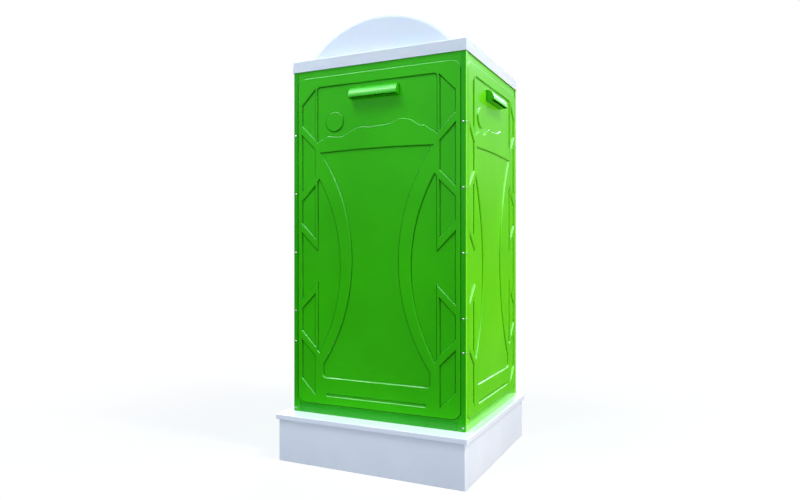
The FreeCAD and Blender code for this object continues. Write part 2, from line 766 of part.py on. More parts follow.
# The skyline from left to right, as the middle and the end of each arc:
# distance from the panel's middle, for a recess of the half width HILL_HALF, and
# drop below the roof rim.
HILLS = [
    ((-345, 424), (-303, 405)),
    ((-254, 416), (-205, 415)),
    ((-162, 391), (-120, 374)),
    ((-78, 368), (-35, 377)),
    ((-5, 370), (25, 371)),
    ((92, 362), (150, 341)),
    ((193, 343), (235, 357)),
    ((262, 377), (285, 391)),
    ((300, 389), (315, 392)),
    ((340, 413), (362, 426)),
]
HILL_HALF = 387
HILL_LEFT = 441
HILL_RIGHT = 447


def window_recess(width):
    """The recess at the top, whose lower edge is a skyline of low hills."""
    side = width / 2 - num("window_side")
    rim = num("wall_height")
    top = rim - num("window_top")
    radius = num("window_round")
    bulge = radius * (1 - math.sqrt(0.5))
    stretch = side / HILL_HALF
    points = [Vector(-side, rim - HILL_LEFT, 0)]
    for middle, end in HILLS:
        crest = Vector(middle[0] * stretch, rim - middle[1], 0)
        points.append((crest, Vector(end[0] * stretch, rim - end[1], 0)))
    points.append(Vector(side, rim - HILL_RIGHT, 0))
    points.append(Vector(side, top - radius, 0))
    points.append((Vector(side - bulge, top - bulge, 0), Vector(side - radius, top, 0)))
    points.append(Vector(radius - side, top, 0))
    points.append((Vector(bulge - side, top - bulge, 0), Vector(-side, top - radius, 0)))
    return points


def mirrored(points):
    """The same outline on the other side of the middle."""
    flipped = []
    for item in points:
        if isinstance(item, tuple):
            flipped.append(tuple(Vector(-point.x, point.y, point.z) for point in item))
        else:
            flipped.append(Vector(-item.x, item.y, item.z))
    return flipped


def pocket_outlines(width):
    """All recesses of one wall, from the outer face."""
    middle = num("relief_middle")
    band = num("pocket_band")
    upper = middle + num("middle_half") + band
    lower = middle - num("middle_half") - band
    short = num("short_pocket")
    tall_low = upper + short + band
    tall_high = tall_low + num("tall_pocket")
    low_high = lower - short - band
    sides = [
        lens(width),
        side_pocket(width, upper, upper + short, 1, 1),
        side_pocket(width, lower - short, lower, 1, 1),
        side_pocket(width, tall_low, tall_high, -1, -1),
        side_pocket(width, tall_high + band, tall_high + band + num("top_pocket"), 1, 1),
        side_pocket(width, low_high - num("low_pocket"), low_high, 1, -1),
    ]
    return sides + [mirrored(points) for points in sides] + [middle_recess(width), window_recess(width)]


def sunk(points, level, depth, lean):
    """A recess that starts on a surface and narrows as it goes in."""
    block = tapered(path_of(points), -depth, lean)
    block.translate(Vector(0, 0, level))
    return block


def sheet_of(solid_form, thickness):
    """Keep only a skin of even thickness behind a relief's outer face."""
    back = solid_form(20)
    back.translate(Vector(0, 0, -thickness))
    return solid_form(0).cut(back)


def wall_form(width, foot, head, margin):
    """The relief of a wall as a thick block, a little larger by the margin."""
    half = width / 2 - num(PANEL_GAP)
    edge = num(EDGE_LEVEL)
    deep = num("form_deep") + margin
    block = Part.makeBox(
        2 * (half + margin), head - foot + 2 * margin, deep,
        Vector(-half - margin, foot - margin, edge - deep),
    )
    side = width / 2 - num("plateau_side")
    top = num("wall_height - plateau_top")
    low = num("plateau_foot")
    base = rounded_wire(-side, low, side, top, num("plateau_round"), edge)
    block = block.fuse(tapered(base, num("plateau_rise"), num("bevel")))
    level = num(PLATEAU_LEVEL)
    cutters = [sunk(points, level, num("recess"), num("bevel")) for points in pocket_outlines(width)]
    groove_side = width / 2 - num("ledge_side")
    groove_low = num("ledge_height - ledge_wide / 2")
    groove_high = num("ledge_height + ledge_wide / 2")
    groove = rounded_wire(-groove_side, groove_low, groove_side, groove_high, num("ledge_round"), 0)
    groove_cut = tapered(groove, -num("ledge_deep"), num("bevel"))
    groove_cut.translate(Vector(0, 0, level))
    cutters.append(groove_cut)
    block = block.cut(Part.makeCompound(cutters))
    radius = num("sun_radius")
    sun = Part.makeCone(radius, radius - num("bevel"), num("recess"))
    sun.translate(Vector(num("sun_side") - width / 2, num("wall_height - sun_drop"), level - num("recess")))
    return block.fuse(sun)


def vent_slots():
    """The upright slots that a hood covers."""
    count = int(num("slot_count"))
    pitch = num("slot_pitch")
    low = num("wall_height - hood_drop - hood_height + 12")
    blocks = []
    for index in range(count):
        x = (index - (count - 1) / 2) * pitch - num("slot_wide") / 2
        blocks.append(Part.makeBox(num("slot_wide"), num("slot_high"), 60, Vector(x, low, -50)))
    return Part.makeCompound(blocks)


def wall_panel(label, wall):
    """A moulded sheet with the pattern of pockets, arcs, skyline and sun."""
    width = num("cabin_depth" if wall in ("left", "right") else "cabin_width")
    foot = num("rail_web")
    head = num(WALL_TOP)
    sheet = sheet_of(lambda margin: wall_form(width, foot, head, margin), num("sheet"))
    panel = feature(label, sheet.cut(vent_slots()))
    on_wall(panel, wall)
    publish(panel, label)


def vent_hood(label, wall):
    """A quarter-round hood, closed at both ends, with a long slot below behind its lip."""
    foot = num("wall_height - hood_drop - hood_height")
    level = num(FLOOR_LEVEL)
    thick = num("hood_wall")
    lift = num("hood_lift")
    reach = num("hood_depth")

    def prism(wire, length):
        face = Part.Face(wire)
        face.translate(Vector(-length / 2, 0, 0))
        return face.extrude(Vector(length, 0, 0))

    def quarter(inset, over):
        """The hood's form drawn in by inset, its open foot lowered by over."""
        deep = reach - inset
        lip = foot + lift * deep / reach
        high = foot + num("hood_height") - inset - lip
        middle = Vector(0, lip, level)
        upward = Vector(0, 1, 0)
        outward = Vector(0, 0, 1)
        if high >= deep:
            oval = Part.Ellipse(middle + upward * high, middle + outward * deep, middle)
        else:
            oval = Part.Ellipse(middle + outward * deep, middle + upward * high, middle)
        arc = Part.Arc(oval, 0, math.pi / 2).toShape()
        tip = middle + outward * deep
        top = middle + upward * high
        edges = [
            Part.makeLine(Vector(0, foot - over, level), top),
            arc,
            Part.makeLine(Vector(0, lip - over, level + deep), Vector(0, foot - over, level)),
        ]
        if over > 0:
            edges.append(Part.makeLine(tip, Vector(0, lip - over, level + deep)))
        wire = Part.Wire(Part.__sortEdges__(edges))
        return prism(wire, num("hood_width") - 2 * inset)

    floor_reach = num("hood_floor")
    floor_lift = lift * floor_reach / reach
    plate = Part.makePolygon([
        Vector(0, foot, level),
        Vector(0, foot + floor_lift, level + floor_reach),
        Vector(0, foot + floor_lift + thick, level + floor_reach),
        Vector(0, foot + thick, level),
        Vector(0, foot, level),
    ])
    hood = quarter(0, 0).cut(quarter(thick, 2)).fuse(prism(plate, num("hood_width") - thick))
    item = feature(label, hood.removeSplitter())
    on_wall(item, wall)
    publish(item, label)


def rivet_heads():
    """Low round heads up both faces of every corner post."""
    pieces = []
    drops = ["wall_height - rivet_first - %d * rivet_pitch" % step for step in range(4)]
    heights = drops + ["rivet_extra", "rivet_foot"]
    low = num("rivet_side")
    radius = num("rivet_radius")
    for wall in WALLS:
        span = "cabin_depth" if wall in ("left", "right") else "cabin_width"
        angle, x, y = WALLS[wall]
        turn = Rotation(Vector(0, 0, 1), angle) * FACE_TURN
        where = Placement(Vector(num(x), num(y), num(DECK_TOP)), turn)
        for side in (-1, 1):
            for height in heights:
                place_x = side * num(span + " / 2 - rivet_inset")
                head = Part.makeCylinder(radius, low)
                crown = Part.makeCone(radius, num("rivet_flat"), num("rivet_height") - low, Vector(0, 0, low))
                rivet = head.fuse(crown).removeSplitter()
                rivet.translate(Vector(place_x, num(height), 0))
                rivet.Placement = where * rivet.Placement
                pieces.append(rivet)
    publish(feature("post_rivets", Part.makeCompound(pieces)), "post_rivets")


def roof_cap():
    """The moulded roof: a deep rim around the walls and a plate with the dome's opening."""
    cap = body("roof_cap")
    out_x = "(cabin_width / 2 + slip + cap_wall)"
    out_y = "(cabin_depth / 2 + slip + cap_wall)"
    middle_y = CABIN_Y

    def block(x, y, offset):
        item = sketch(cap, "XY_Plane", offset)
        rectangle(item, "0 - " + x, middle_y + " - " + y, x, middle_y + " + " + y)
        return item

    outer = pad(cap, block(out_x, out_y, "0"), "cap_rim")

    def outer_edge(edge):
        return edge.BoundBox.ZMin > num("cap_rim") - 0.01 or runs_along(edge, Vector(0, 0, 1))

    round_edges(cap, outer, outer_edge, "cap_round")
    pocket(cap, block("(" + out_x + " - cap_wall)", "(" + out_y + " - cap_wall)", "0"),
           "cap_rim - cap_wall", reverse=True)
    open_x = "(dome_chord / 2 - dome_seat)"
    open_y = "(cabin_depth / 2 - dome_setback - dome_seat)"
    pocket(cap, block(open_x, open_y, "cap_rim - cap_wall"), "cap_wall", reverse=True)
    place(cap, z=DECK_TOP + " + wall_height")
    publish(cap, "roof_cap")


def vault(shrink):
    """A barrel vault along the depth with rounded end arches, smaller all round by a wall."""
    chord = num("dome_chord")
    rise = num("dome_rise")
    radius = (chord * chord / 4 + rise * rise) / (2 * rise) - shrink
    middle_z = rise - (chord * chord / 4 + rise * rise) / (2 * rise)
    half = math.sqrt(radius * radius - middle_z * middle_z)
    long = num("cabin_depth / 2 - dome_setback") - shrink
    top = Vector(0, -long, middle_z + radius)
    wire = Part.Wire([
        Part.Arc(Vector(-half, -long, 0), top, Vector(half, -long, 0)).toShape(),
        Part.makeLine(Vector(half, -long, 0), Vector(-half, -long, 0)),
    ])
    solid = Part.Face(wire).extrude(Vector(0, 2 * long, 0))
    arches = [edge for edge in solid.Edges if edge.Curve.TypeId == "Part::GeomCircle"]
    return solid.makeFillet(num("dome_round") - shrink, arches)


def roof_dome():
    """The translucent barrel dome with its flange on the roof plate."""
    wall = num("dome_wall")
    half_x = num("dome_chord / 2 + dome_flange")
    half_y = num("cabin_depth / 2 - dome_setback + dome_flange")
    flange = Part.makeBox(2 * half_x, 2 * half_y, wall, Vector(-half_x, -half_y, 0))
    shell = vault(0).fuse(flange)
    hollow = vault(wall)
    dome = feature("roof_dome", shell.cut(hollow).removeSplitter())
    place(dome, "0", CABIN_Y, DECK_TOP + " + wall_height + cap_rim")
    publish(dome, "roof_dome")


def dome_screws():
    """Screw heads along the dome's side flanges."""
    pieces = []
    for side in (-1, 1):
        for step in (-2, -1, 0, 1, 2):
            x = "%d * (dome_chord / 2 + dome_flange / 2 + 1)" % side
            y = CABIN_Y + " + %d * (cabin_depth / 2 - dome_setback) * 0.45" % step
            z = DECK_TOP + " + wall_height + cap_rim + dome_wall"
            pieces.append(rod("dome_screw", "z", x, y, z, "screw_radius", "screw_height"))
    publish(group("dome_screws", pieces), "dome_screws")


def door_jamb(label, side):
    """A front panel beside the door, folded back into a stop lip."""
    jamb = body(label)

    def across(x):
        return "%d * %s" % (side, x)

    plan = sketch(jamb, "XZ_Plane", "0 - rail_web")
    edge = "(cabin_width / 2 - " + PANEL_GAP + ")"
    back = "(" + EDGE_LEVEL + " - sheet)"
    outline(plan, [
        (across(edge), EDGE_LEVEL),
        (across(OPEN_HALF), EDGE_LEVEL),
        (across(OPEN_HALF), back),
        (across(edge), back),
    ])
    pad(jamb, plan, WALL_TOP + " - rail_web", reverse=True)
    fold = sketch(jamb, "XZ_Plane", "0 - threshold_top")
    outline(fold, [
        (across("(" + OPEN_HALF + " + sheet)"), EDGE_LEVEL),
        (across(OPEN_HALF), EDGE_LEVEL),
        (across(OPEN_HALF), LIP_FRONT),
        (across("(" + OPEN_HALF + " - stop_lip)"), LIP_FRONT),
        (across("(" + OPEN_HALF + " - stop_lip)"), LIP_BACK),
        (across("(" + OPEN_HALF + " + sheet)"), LIP_BACK),
    ])
    pad(jamb, fold, WALL_TOP + " - threshold_top", reverse=True)
    on_wall(jamb, "front")
    publish(jamb, label)


def door_header():
    """The panel above the door with its own stop lip."""
    head = body("door_header")
    fold_end = "(" + LIP_FRONT + " + slip)"
    profile = sketch(head, "YZ_Plane")
    outline(profile, [
        (WALL_TOP, EDGE_LEVEL),
        (OPEN_TOP, EDGE_LEVEL),
        (OPEN_TOP, fold_end),
        (OPEN_TOP + " + sheet", fold_end),
        (OPEN_TOP + " + sheet", EDGE_LEVEL + " - sheet"),
        (WALL_TOP, EDGE_LEVEL + " - sheet"),
    ])
    pad(head, profile, "2 * (" + OPEN_HALF + " - slip)", middle=True)
    lip = sketch(head, "YZ_Plane")
    outline(lip, [
        (OPEN_TOP + " + sheet", fold_end),
        (OPEN_TOP, fold_end),
        (OPEN_TOP, LIP_FRONT),
        (OPEN_TOP + " - stop_lip", LIP_FRONT),
        (OPEN_TOP + " - stop_lip", LIP_BACK),
        (OPEN_TOP + " + sheet", LIP_BACK),
    ])
    pad(head, lip, "2 * (" + OPEN_HALF + " - stop_lip - slip)", middle=True)
    on_wall(head, "front")
    publish(head, "door_header")


def threshold():
    """The tread that covers the front rail between the jambs."""
    tread = body("threshold_strip")
    back = "(" + LIP_BACK + " - 6)"
    profile = sketch(tread, "YZ_Plane")
    outline(profile, [
        ("rail_height", "0"),
        ("threshold_top", "0 - 3"),
        ("threshold_top", back),
        ("0", back),
        ("0", back + " + 5"),
        ("rail_height", back + " + 5"),
    ])
    pad(tread, profile, "2 * (" + OPEN_HALF + " - slip)", middle=True)
    on_wall(tread, "front")
    publish(tread, "threshold_strip")


def door_form(margin):
    """The door's relief as a thick block: a top field, a waisted field and a low field."""
    half = num("door_width") / 2
    low = num(DOOR_FOOT)
    high = low + num(DOOR_HIGH)
    level = num(EDGE_LEVEL)
    deep = num("door_thick") + margin
    block = Part.makeBox(
        2 * (half + margin), high - low + 2 * margin, deep, Vector(-half - margin, low - margin, level - deep)
    )
    side = half - num("door_margin")
    frame = num("door_margin")
    depth = num("door_recess")
    top = high - frame
    mid_top = top - num("door_head_panel") - frame
    mid_low = low + frame + num("door_foot_panel") + frame
    waist = side - num("door_waist")
    middle = (mid_top + mid_low) / 2
    corner = num("door_round")
    fields = [
        rounded_wire(-side, top - num("door_head_panel"), side, top, corner, 0),
        rounded_wire(-side, low + frame, side, low + frame + num("door_foot_panel"), corner, 0),
        path_of([
            Vector(-side, mid_top, 0),
            Vector(side, mid_top, 0),
            (Vector(waist, middle, 0), Vector(side, mid_low, 0)),
            Vector(-side, mid_low, 0),
            (Vector(-waist, middle, 0), Vector(-side, mid_top, 0)),
        ]),
    ]
    for wire in fields:
        field = tapered(wire, -depth, num("bevel"))
        field.translate(Vector(0, 0, level))
        block = block.cut(field)
    return block


def door_leaf():
    """The outer skin with its folded rim, and the flat inner skin."""
    half = num("door_width") / 2
    low = num(DOOR_FOOT)
    long = num(DOOR_HIGH)
    level = num(EDGE_LEVEL)
    skin = num("door_skin")
    liner = num("door_liner")
    deep = num("door_thick") - liner
    face = sheet_of(door_form, skin)
    rim = Part.makeBox(2 * half, long, deep, Vector(-half, low, level - deep))
    inside = Vector(skin - half, low + skin, level - deep)
    rim = rim.cut(Part.makeBox(2 * (half - skin), long - 2 * skin, deep, inside))
    bore_place = Vector(num(LOCK_X), num("lock_place"), level - num("door_thick") - 5)
    bore = Part.makeCylinder(num("spindle_radius + run_fit"), num("door_thick") + 10, bore_place)
    outer = feature("door_skin_outer", face.fuse(rim).removeSplitter().cut(bore))
    on_wall(outer, "front")
    publish(outer, "door_outer_skin")
    plate = Part.makeBox(2 * half, long, liner, Vector(-half, low, level - num("door_thick")))
    inner = feature("door_liner_plate", plate.cut(bore))
    on_wall(inner, "front")
    publish(inner, "door_inner_skin")


def hinge_places():
    return ["hinge_low_place + %d * " % step + HINGE_STEP for step in range(3)]


def hinge_leaves():
    """Three door hinges: outer knuckles on the jamb, the middle knuckle on the door, and pins."""
    reach = num("leaf_reach")
    wall = num("leaf_wall")
    radius = num("barrel_radius")
    high = num("hinge_high")
    level = num(EDGE_LEVEL)
    x = num(HINGE_X)
    out = num(HINGE_OUT)
    third = high / 3
    gap = num("slip")
    clear = num("knuckle_clear")
    bite = num("tongue_bite")
    jamb_leaves = []
    door_leaves = []
    pins = []
    for formula in hinge_places():
        low = num(formula) - high / 2
        knuckles = {
            -1: [(low, low + third - gap / 2), (low + high - third + gap / 2, low + high)],
            1: [(low + third + gap / 2, low + high - third - gap / 2)],
        }
        bore = turned_rod(num("pin_radius + run_fit"), low - 5, high + 10, x, out)
        for side in (-1, 1):
            far = x + side * reach
            near = x + side * (radius + clear)
            leaf = Part.makeBox(abs(far - near), high, wall, Vector(min(far, near), low, level))
            for bottom, top in knuckles[side]:
                start = Vector(min(x, near + side * bite), bottom, level + bite)
                tongue = Part.makeBox(abs(near - x) + bite, top - bottom, wall, start)
                barrel = turned_rod(radius, bottom, top - bottom, x, out)
                leaf = leaf.fuse(tongue).fuse(barrel)
            leaf = leaf.cut(bore).removeSplitter()
            (jamb_leaves if side < 0 else door_leaves).append(leaf)
        shaft = turned_rod(num("pin_radius"), low, high, x, out)
        head = turned_rod(num("pin_radius + 1.5"), low + high, 3, x, out)
        pins.append(shaft.fuse(head))
    for label, pieces in (
        ("hinge_leaves_jamb", jamb_leaves),
        ("hinge_leaves_door", door_leaves),
        ("hinge_pins", pins),
    ):
        item = feature(label, Part.makeCompound(pieces))
        on_wall(item, "front")
        publish(item, label)


def turned_rod(radius, low, length, x, out):
    """An upright cylinder in a wall's frame."""
    return Part.makeCylinder(radius, length, Vector(x, low, out), Vector(0, 1, 0))


def pull_handle(label, level, sign):
    """A round bar bent back to the door at both ends, on two round feet."""
    x = num(HANDLE_X)
    middle = num("handle_place")
    half = num("handle_length") / 2
    radius = num("handle_radius")
    bend = num("handle_bend")
    reach = num("handle_reach") - radius
    foot = num("handle_foot")
    foot_radius = num("handle_foot_radius")
    start = num(level) + sign * foot
    top = num(level) + sign * reach
    slant = bend * (1 - math.cos(math.pi / 4))
    route = Part.Wire([
        Part.makeLine(Vector(x, middle - half, start), Vector(x, middle - half, top - sign * bend)),
        Part.Arc(
            Vector(x, middle - half, top - sign * bend),
            Vector(x, middle - half + slant, top - sign * slant),
            Vector(x, middle - half + bend, top),
        ).toShape(),
        Part.makeLine(Vector(x, middle - half + bend, top), Vector(x, middle + half - bend, top)),
        Part.Arc(
            Vector(x, middle + half - bend, top),
            Vector(x, middle + half - slant, top - sign * slant),
            Vector(x, middle + half, top - sign * bend),
        ).toShape(),
        Part.makeLine(Vector(x, middle + half, top - sign * bend), Vector(x, middle + half, start)),
    ])
    ring = Part.Wire(Part.makeCircle(radius, Vector(x, middle - half, start), Vector(0, 0, 1)))
    handle = route.makePipeShell([ring], True, False)
    for end in (-half, half):
        spot = Vector(x, middle + end, num(level))
        handle = handle.fuse(Part.makeCylinder(foot_radius, foot, spot, Vector(0, 0, sign)))
    item = feature(label, handle.removeSplitter())
    on_wall(item, "front")
    publish(item, label)


def lock():
    """The privacy lock: case, bolt, spindle with lever and dial, ring and strike."""
    x = num(LOCK_X)
    y = num("lock_place")
    back = num(DOOR_BACK)
    level = num(EDGE_LEVEL)
    deep = num("lock_case_deep")
    wide = num("lock_case_wide")
    high = num("lock_case_high")
    right = num(CASE_X)
    fit = num("run_fit")
    gap = num("slip")
    bolt_y = y - num("bolt_drop")
    bolt_front = num(LIP_BACK + " - strike_wall - bolt_clear")
    bolt_deep = num("bolt_deep")
    bolt_high = num("bolt_high")
    bolt_long = num("bolt_long")
    face = back - deep - num("lever_gap")
    case = Part.makeBox(wide, high, deep, Vector(right - wide, y - num("lock_case_below"), back - deep))
    uprights = [edge for edge in case.Edges if runs_along(edge, Vector(0, 0, 1))]
    case = case.makeFillet(num("lock_case_round"), uprights)
    spindle_bore = Part.makeCylinder(num("spindle_radius") + fit, 2 * deep, Vector(x, y, face))
    slot = Part.makeBox(
        2 * bolt_long, bolt_high + 2 * gap, bolt_deep + 2 * gap,
        Vector(right - bolt_long - 2 * gap, bolt_y - bolt_high / 2 - gap, bolt_front - bolt_deep - gap),
    )
    case = feature("lock_case", case.cut(spindle_bore).cut(slot))
    corner = Vector(right - bolt_long - gap, bolt_y - bolt_high / 2, bolt_front - bolt_deep)
    bolt = feature("lock_bolt", Part.makeBox(bolt_long, bolt_high, bolt_deep, corner))
    dial_back = level + num("dial_gap")
    spindle = Part.makeCylinder(num("spindle_radius"), dial_back - face, Vector(x, y, face))
    spindle = feature("lock_spindle", spindle)
    lever_deep = num("lever_deep")
    lever_wide = num("lever_wide")
    hub = Part.makeCylinder(num("lever_hub"), lever_deep, Vector(x, y, face - lever_deep))
    grip = Part.makeBox(
        lever_wide, num("lever_long"), lever_deep,
        Vector(x - lever_wide / 2, y - num("lever_tail"), face - lever_deep),
    )
    lever = feature("lock_lever", hub.fuse(grip).removeSplitter())
    dial = Part.makeCylinder(num("dial_radius"), num("dial_thick"), Vector(x, y, dial_back))
    coin_long = num("coin_long")
    coin_wide = num("coin_wide")
    coin_floor = dial_back + num("dial_thick - coin_deep")
    coin = Part.makeBox(
        coin_long, coin_wide, num("dial_thick"), Vector(x - coin_long / 2, y - coin_wide / 2, coin_floor)
    )
    dial = feature("lock_indicator", dial.cut(coin))
    thick = num("bezel_thick")
    ring = Part.makeCylinder(num("bezel_radius"), thick, Vector(x, y, level))
    ring = ring.cut(Part.makeCylinder(num("dial_radius + bezel_gap"), thick, Vector(x, y, level)))
    rim_edges = [edge for edge in ring.Edges if edge.BoundBox.ZMin > level + thick / 2]
    ring = feature("lock_bezel", ring.makeFillet(num("bezel_round"), rim_edges))
    lip_edge = num(OPEN_HALF + " - stop_lip")
    strike = Part.makeBox(
        num("stop_lip + sheet"), num("strike_high"), num("strike_wall"),
        Vector(lip_edge, bolt_y - num("strike_high") / 2, num(LIP_BACK + " - strike_wall")),
    )
    strike = feature("strike_plate", strike)
    for item in (case, bolt, spindle, lever, dial, ring, strike):
        on_wall(item, "front")
        publish(item, item.Name)


def door_seal():
    """Soft strips on the stop lip, on both sides and above the door."""
    wide = num("seal_wide")
    thick = num("seal_room - slip")
    front = num(LIP_FRONT)
    low = num(DOOR_FOOT)
    top = num(OPEN_TOP + " - stop_lip + 1")
    inner = num(OPEN_HALF + " - stop_lip + 1")
    strips = [
        Part.makeBox(wide, top - low, thick, Vector(-inner - wide, low, front)),
        Part.makeBox(wide, top - low, thick, Vector(inner, low, front)),
        Part.makeBox(2 * inner - 2, wide, thick, Vector(1 - inner, top, front)),
    ]
    item = feature("door_seal", Part.makeCompound(strips))
    on_wall(item, "front")
    publish(item, "door_seal")


def coat_hook():
    """A plate with one upturned rod inside the door."""
    back = num(DOOR_BACK)
    y = num("wall_height - header_drop - hook_drop")
    radius = num("hook_radius")
    bend = num("hook_bend")
    slant = bend * math.cos(math.pi / 4)
    wide = num("hook_plate_wide")
    thick = num("hook_plate_thick")
    foot = back - thick
    plate = Part.makeBox(
        wide, num("hook_plate_high"), thick, Vector(-wide / 2, y - num("hook_plate_below"), foot)
    )
    start = Vector(0, y, foot)
    low = Vector(0, y, foot - bend)
    turn = Vector(0, y + bend - slant, foot - bend - slant)
    tip = Vector(0, y + bend, foot - 2 * bend)
    end = Vector(0, y + 2 * bend, foot - 2 * bend)
    curl = Part.Arc(low, turn, tip).toShape()
    route = Part.Wire([Part.makeLine(start, low), curl, Part.makeLine(tip, end)])
    ring = Part.Wire(Part.makeCircle(radius, start, Vector(0, 0, 1)))
    prong = route.makePipeShell([ring], True, False)
    knob = Part.makeSphere(num("hook_knob"), end)
    hook = feature("coat_hook", plate.fuse(prong).fuse(knob).removeSplitter())
    on_wall(hook, "front")
    publish(hook, "coat_hook")


def vent_pipe():
    """The pipe from the tank's head space up the rear corner, held by two clips."""
    length = "pipe_top + deck_thick + pipe_dip"
    low = DECK_TOP + " - deck_thick - pipe_dip"
    outer = rod("vent_pipe_outside", "z", PIPE_X, PIPE_Y, low, "pipe_radius", length)
    inner = rod("vent_pipe_bore", "z", PIPE_X, PIPE_Y, low, "pipe_radius - pipe_wall", length)
    publish(cut("vent_pipe", outer, inner), "vent_pipe")
    wall_y = CABIN_Y + " + cabin_depth / 2 + " + LINING_LEVEL
    clips = []
    high = num("relief_middle + middle_half + pocket_band + short_pocket / 2")
    low_height = num("relief_middle - middle_half - 2 * pocket_band - short_pocket")
    low_height -= num("low_pocket / 2 + pipe_side - pocket_side")
    for height in (high, low_height):
        z = DECK_TOP + " + %.1f - clip_high / 2" % height
        collar = rod("clip_collar", "z", PIPE_X, PIPE_Y, z, "pipe_radius + slip + clip_wall", "clip_high")
        foot_depth = "(" + wall_y + " - " + PIPE_Y + ")"
        foot = brick("clip_foot", PIPE_X + " - clip_plate / 2", wall_y + " - clip_wall", z,
                     "clip_plate", "clip_wall", "clip_high")
        neck = brick("clip_neck", PIPE_X + " - clip_neck / 2", PIPE_Y, z,
                     "clip_neck", foot_depth + " - clip_wall / 2", "clip_high")
        bore = rod("clip_bore", "z", PIPE_X, PIPE_Y, z, "pipe_radius + slip", "clip_high")
        clips.append(cut("pipe_clip", joined("clip_blank", [collar, foot, neck]), bore))
    publish(group("vent_pipe_clips", clips), "vent_pipe_clips")


def oval(half_x, half_y, x, y, z):
    """An ellipse or circle wire in plan, which starts at its far end along Y."""
    middle = Vector(x, y, z)
    if half_x < half_y:
        edge = Part.Ellipse(middle + Vector(0, half_y, 0), middle + Vector(-half_x, 0, 0), middle).toShape()
    else:
        edge = Part.makeCircle(half_x, middle)
        edge.rotate(middle, Vector(0, 0, 1), 90)
    return Part.Wire(edge)


def toilet_pedestal():
    """A tapered hollow riser, and the funnel inside it from the seat to the drop hole."""
    wall = num("riser_wall")
    high = num("riser_height")

    def riser(shrink, low, top):
        foot_x = num("riser_width") / 2 - shrink
        foot_y = num("riser_depth") / 2 - shrink
        head_x = num("riser_top_width") / 2 - shrink
        head_y = num("riser_top_depth") / 2 - shrink
        corner = num("riser_round") - shrink
        foot = rounded_wire(-foot_x, -foot_y, foot_x, foot_y, corner, low)
        head = rounded_wire(-head_x, -head_y, head_x, head_y, corner, top)
        return Part.makeLoft([foot, head], True, True)

    shell = riser(0, 0, high).cut(riser(wall, -1, high - wall))
    hole_x = num("seat_hole_width") / 2
    hole_y = num("seat_hole_depth") / 2
    ahead = -num("seat_forward")
    low_radius = num("drop_radius - funnel_ledge")
    skin = num("funnel_wall")

    def funnel(grow, low, top):
        low_ring = oval(low_radius + grow, low_radius + grow, 0, 0, low)
        high_ring = oval(hole_x + grow, hole_y + grow, 0, ahead, top)
        return Part.makeLoft([low_ring, high_ring], True, True)

    hole = Part.Face(oval(hole_x, hole_y, 0, ahead, 0)).extrude(Vector(0, 0, high))
    riser_item = feature("toilet_pedestal", shell.cut(hole).removeSplitter())
    chute = funnel(skin, 0, high - wall).cut(funnel(0, 0, high - wall))
    chute_item = feature("drop_funnel", chute)
    for item in (riser_item, chute_item):
        place(item, "0", RISER_Y, DECK_TOP)
        publish(item, item.Name)


def toilet_seat():
    """The oval ring on the pedestal."""
    thick = num("seat_thick")
    ahead = -num("seat_forward")
    outer = Part.Face(oval(num("seat_width") / 2, num("seat_depth") / 2, 0, ahead, 0))
    inner = Part.Face(oval(num("seat_hole_width") / 2, num("seat_hole_depth") / 2, 0, ahead, 0))
    ring = outer.cut(inner).extrude(Vector(0, 0, thick))
    top = [edge for edge in ring.Edges if edge.BoundBox.ZMin > thick - 0.01]
    item = feature("toilet_seat", ring.makeFillet(num("seat_round"), top))
    place(item, "0", RISER_Y, RISER_TOP)
    publish(item, "toilet_seat")


def seat_lid():
    """The lid with two barrels on the pin, the pin, and the brackets that hold it."""
    gap = num("slip")
    low = num("seat_thick") + gap
    thick = num("lid_thick")
    over = num("lid_over")
    ahead = -num("seat_forward")
    axis_y = num("lid_axis_back")
    axis_z = num("lid_axis_up")
    plate = Part.Face(oval(num("seat_width") / 2 + over, num("seat_depth") / 2 + over, 0, ahead, low))
    plate = plate.extrude(Vector(0, 0, thick))
    top = [edge for edge in plate.Edges if edge.BoundBox.ZMin > low + thick - 0.01]
    lid = plate.makeFillet(num("lid_round"), top)
    wide = num("lug_wide")
    bore_radius = num("lid_pin_radius + run_fit")
    bore_half = num("seat_width")
    arm_start = num("lid_arm_start")
    bore = Part.makeCylinder(
        bore_radius, 2 * bore_half, Vector(-bore_half, axis_y, axis_z), Vector(1, 0, 0)
    )
    for side in (-1, 1):
        x = side * num("lug_side") - wide / 2
        arm = Part.makeBox(wide, axis_y - arm_start, num("lid_arm_thick"), Vector(x, arm_start, low))
        barrel = Part.makeCylinder(num("lug_radius"), wide, Vector(x, axis_y, axis_z), Vector(1, 0, 0))
        lid = lid.fuse(arm).fuse(barrel)
    lid_item = feature("seat_lid", lid.cut(bore).removeSplitter())
    pin_half = num("bracket_side + bracket_wide / 2 + lid_pin_proud")
    pin = Part.makeCylinder(
        num("lid_pin_radius"), 2 * pin_half, Vector(-pin_half, axis_y, axis_z), Vector(1, 0, 0)
    )
    pin_item = feature("lid_hinge_pin", pin)
    deep = num("bracket_deep")
    brackets = []
    for side in (-1, 1):
        x = side * num("bracket_side") - num("bracket_wide") / 2
        block = Part.makeBox(num("bracket_wide"), deep, axis_z, Vector(x, axis_y - deep / 2, 0))
        crown = Part.makeCylinder(deep / 2, num("bracket_wide"), Vector(x, axis_y, axis_z), Vector(1, 0, 0))
        brackets.append(block.fuse(crown).cut(bore).removeSplitter())
    bracket_item = feature("lid_hinge_brackets", Part.makeCompound(brackets))
    for item in (lid_item, pin_item, bracket_item):
        place(item, "0", RISER_Y, RISER_TOP)
        publish(item, item.Name)


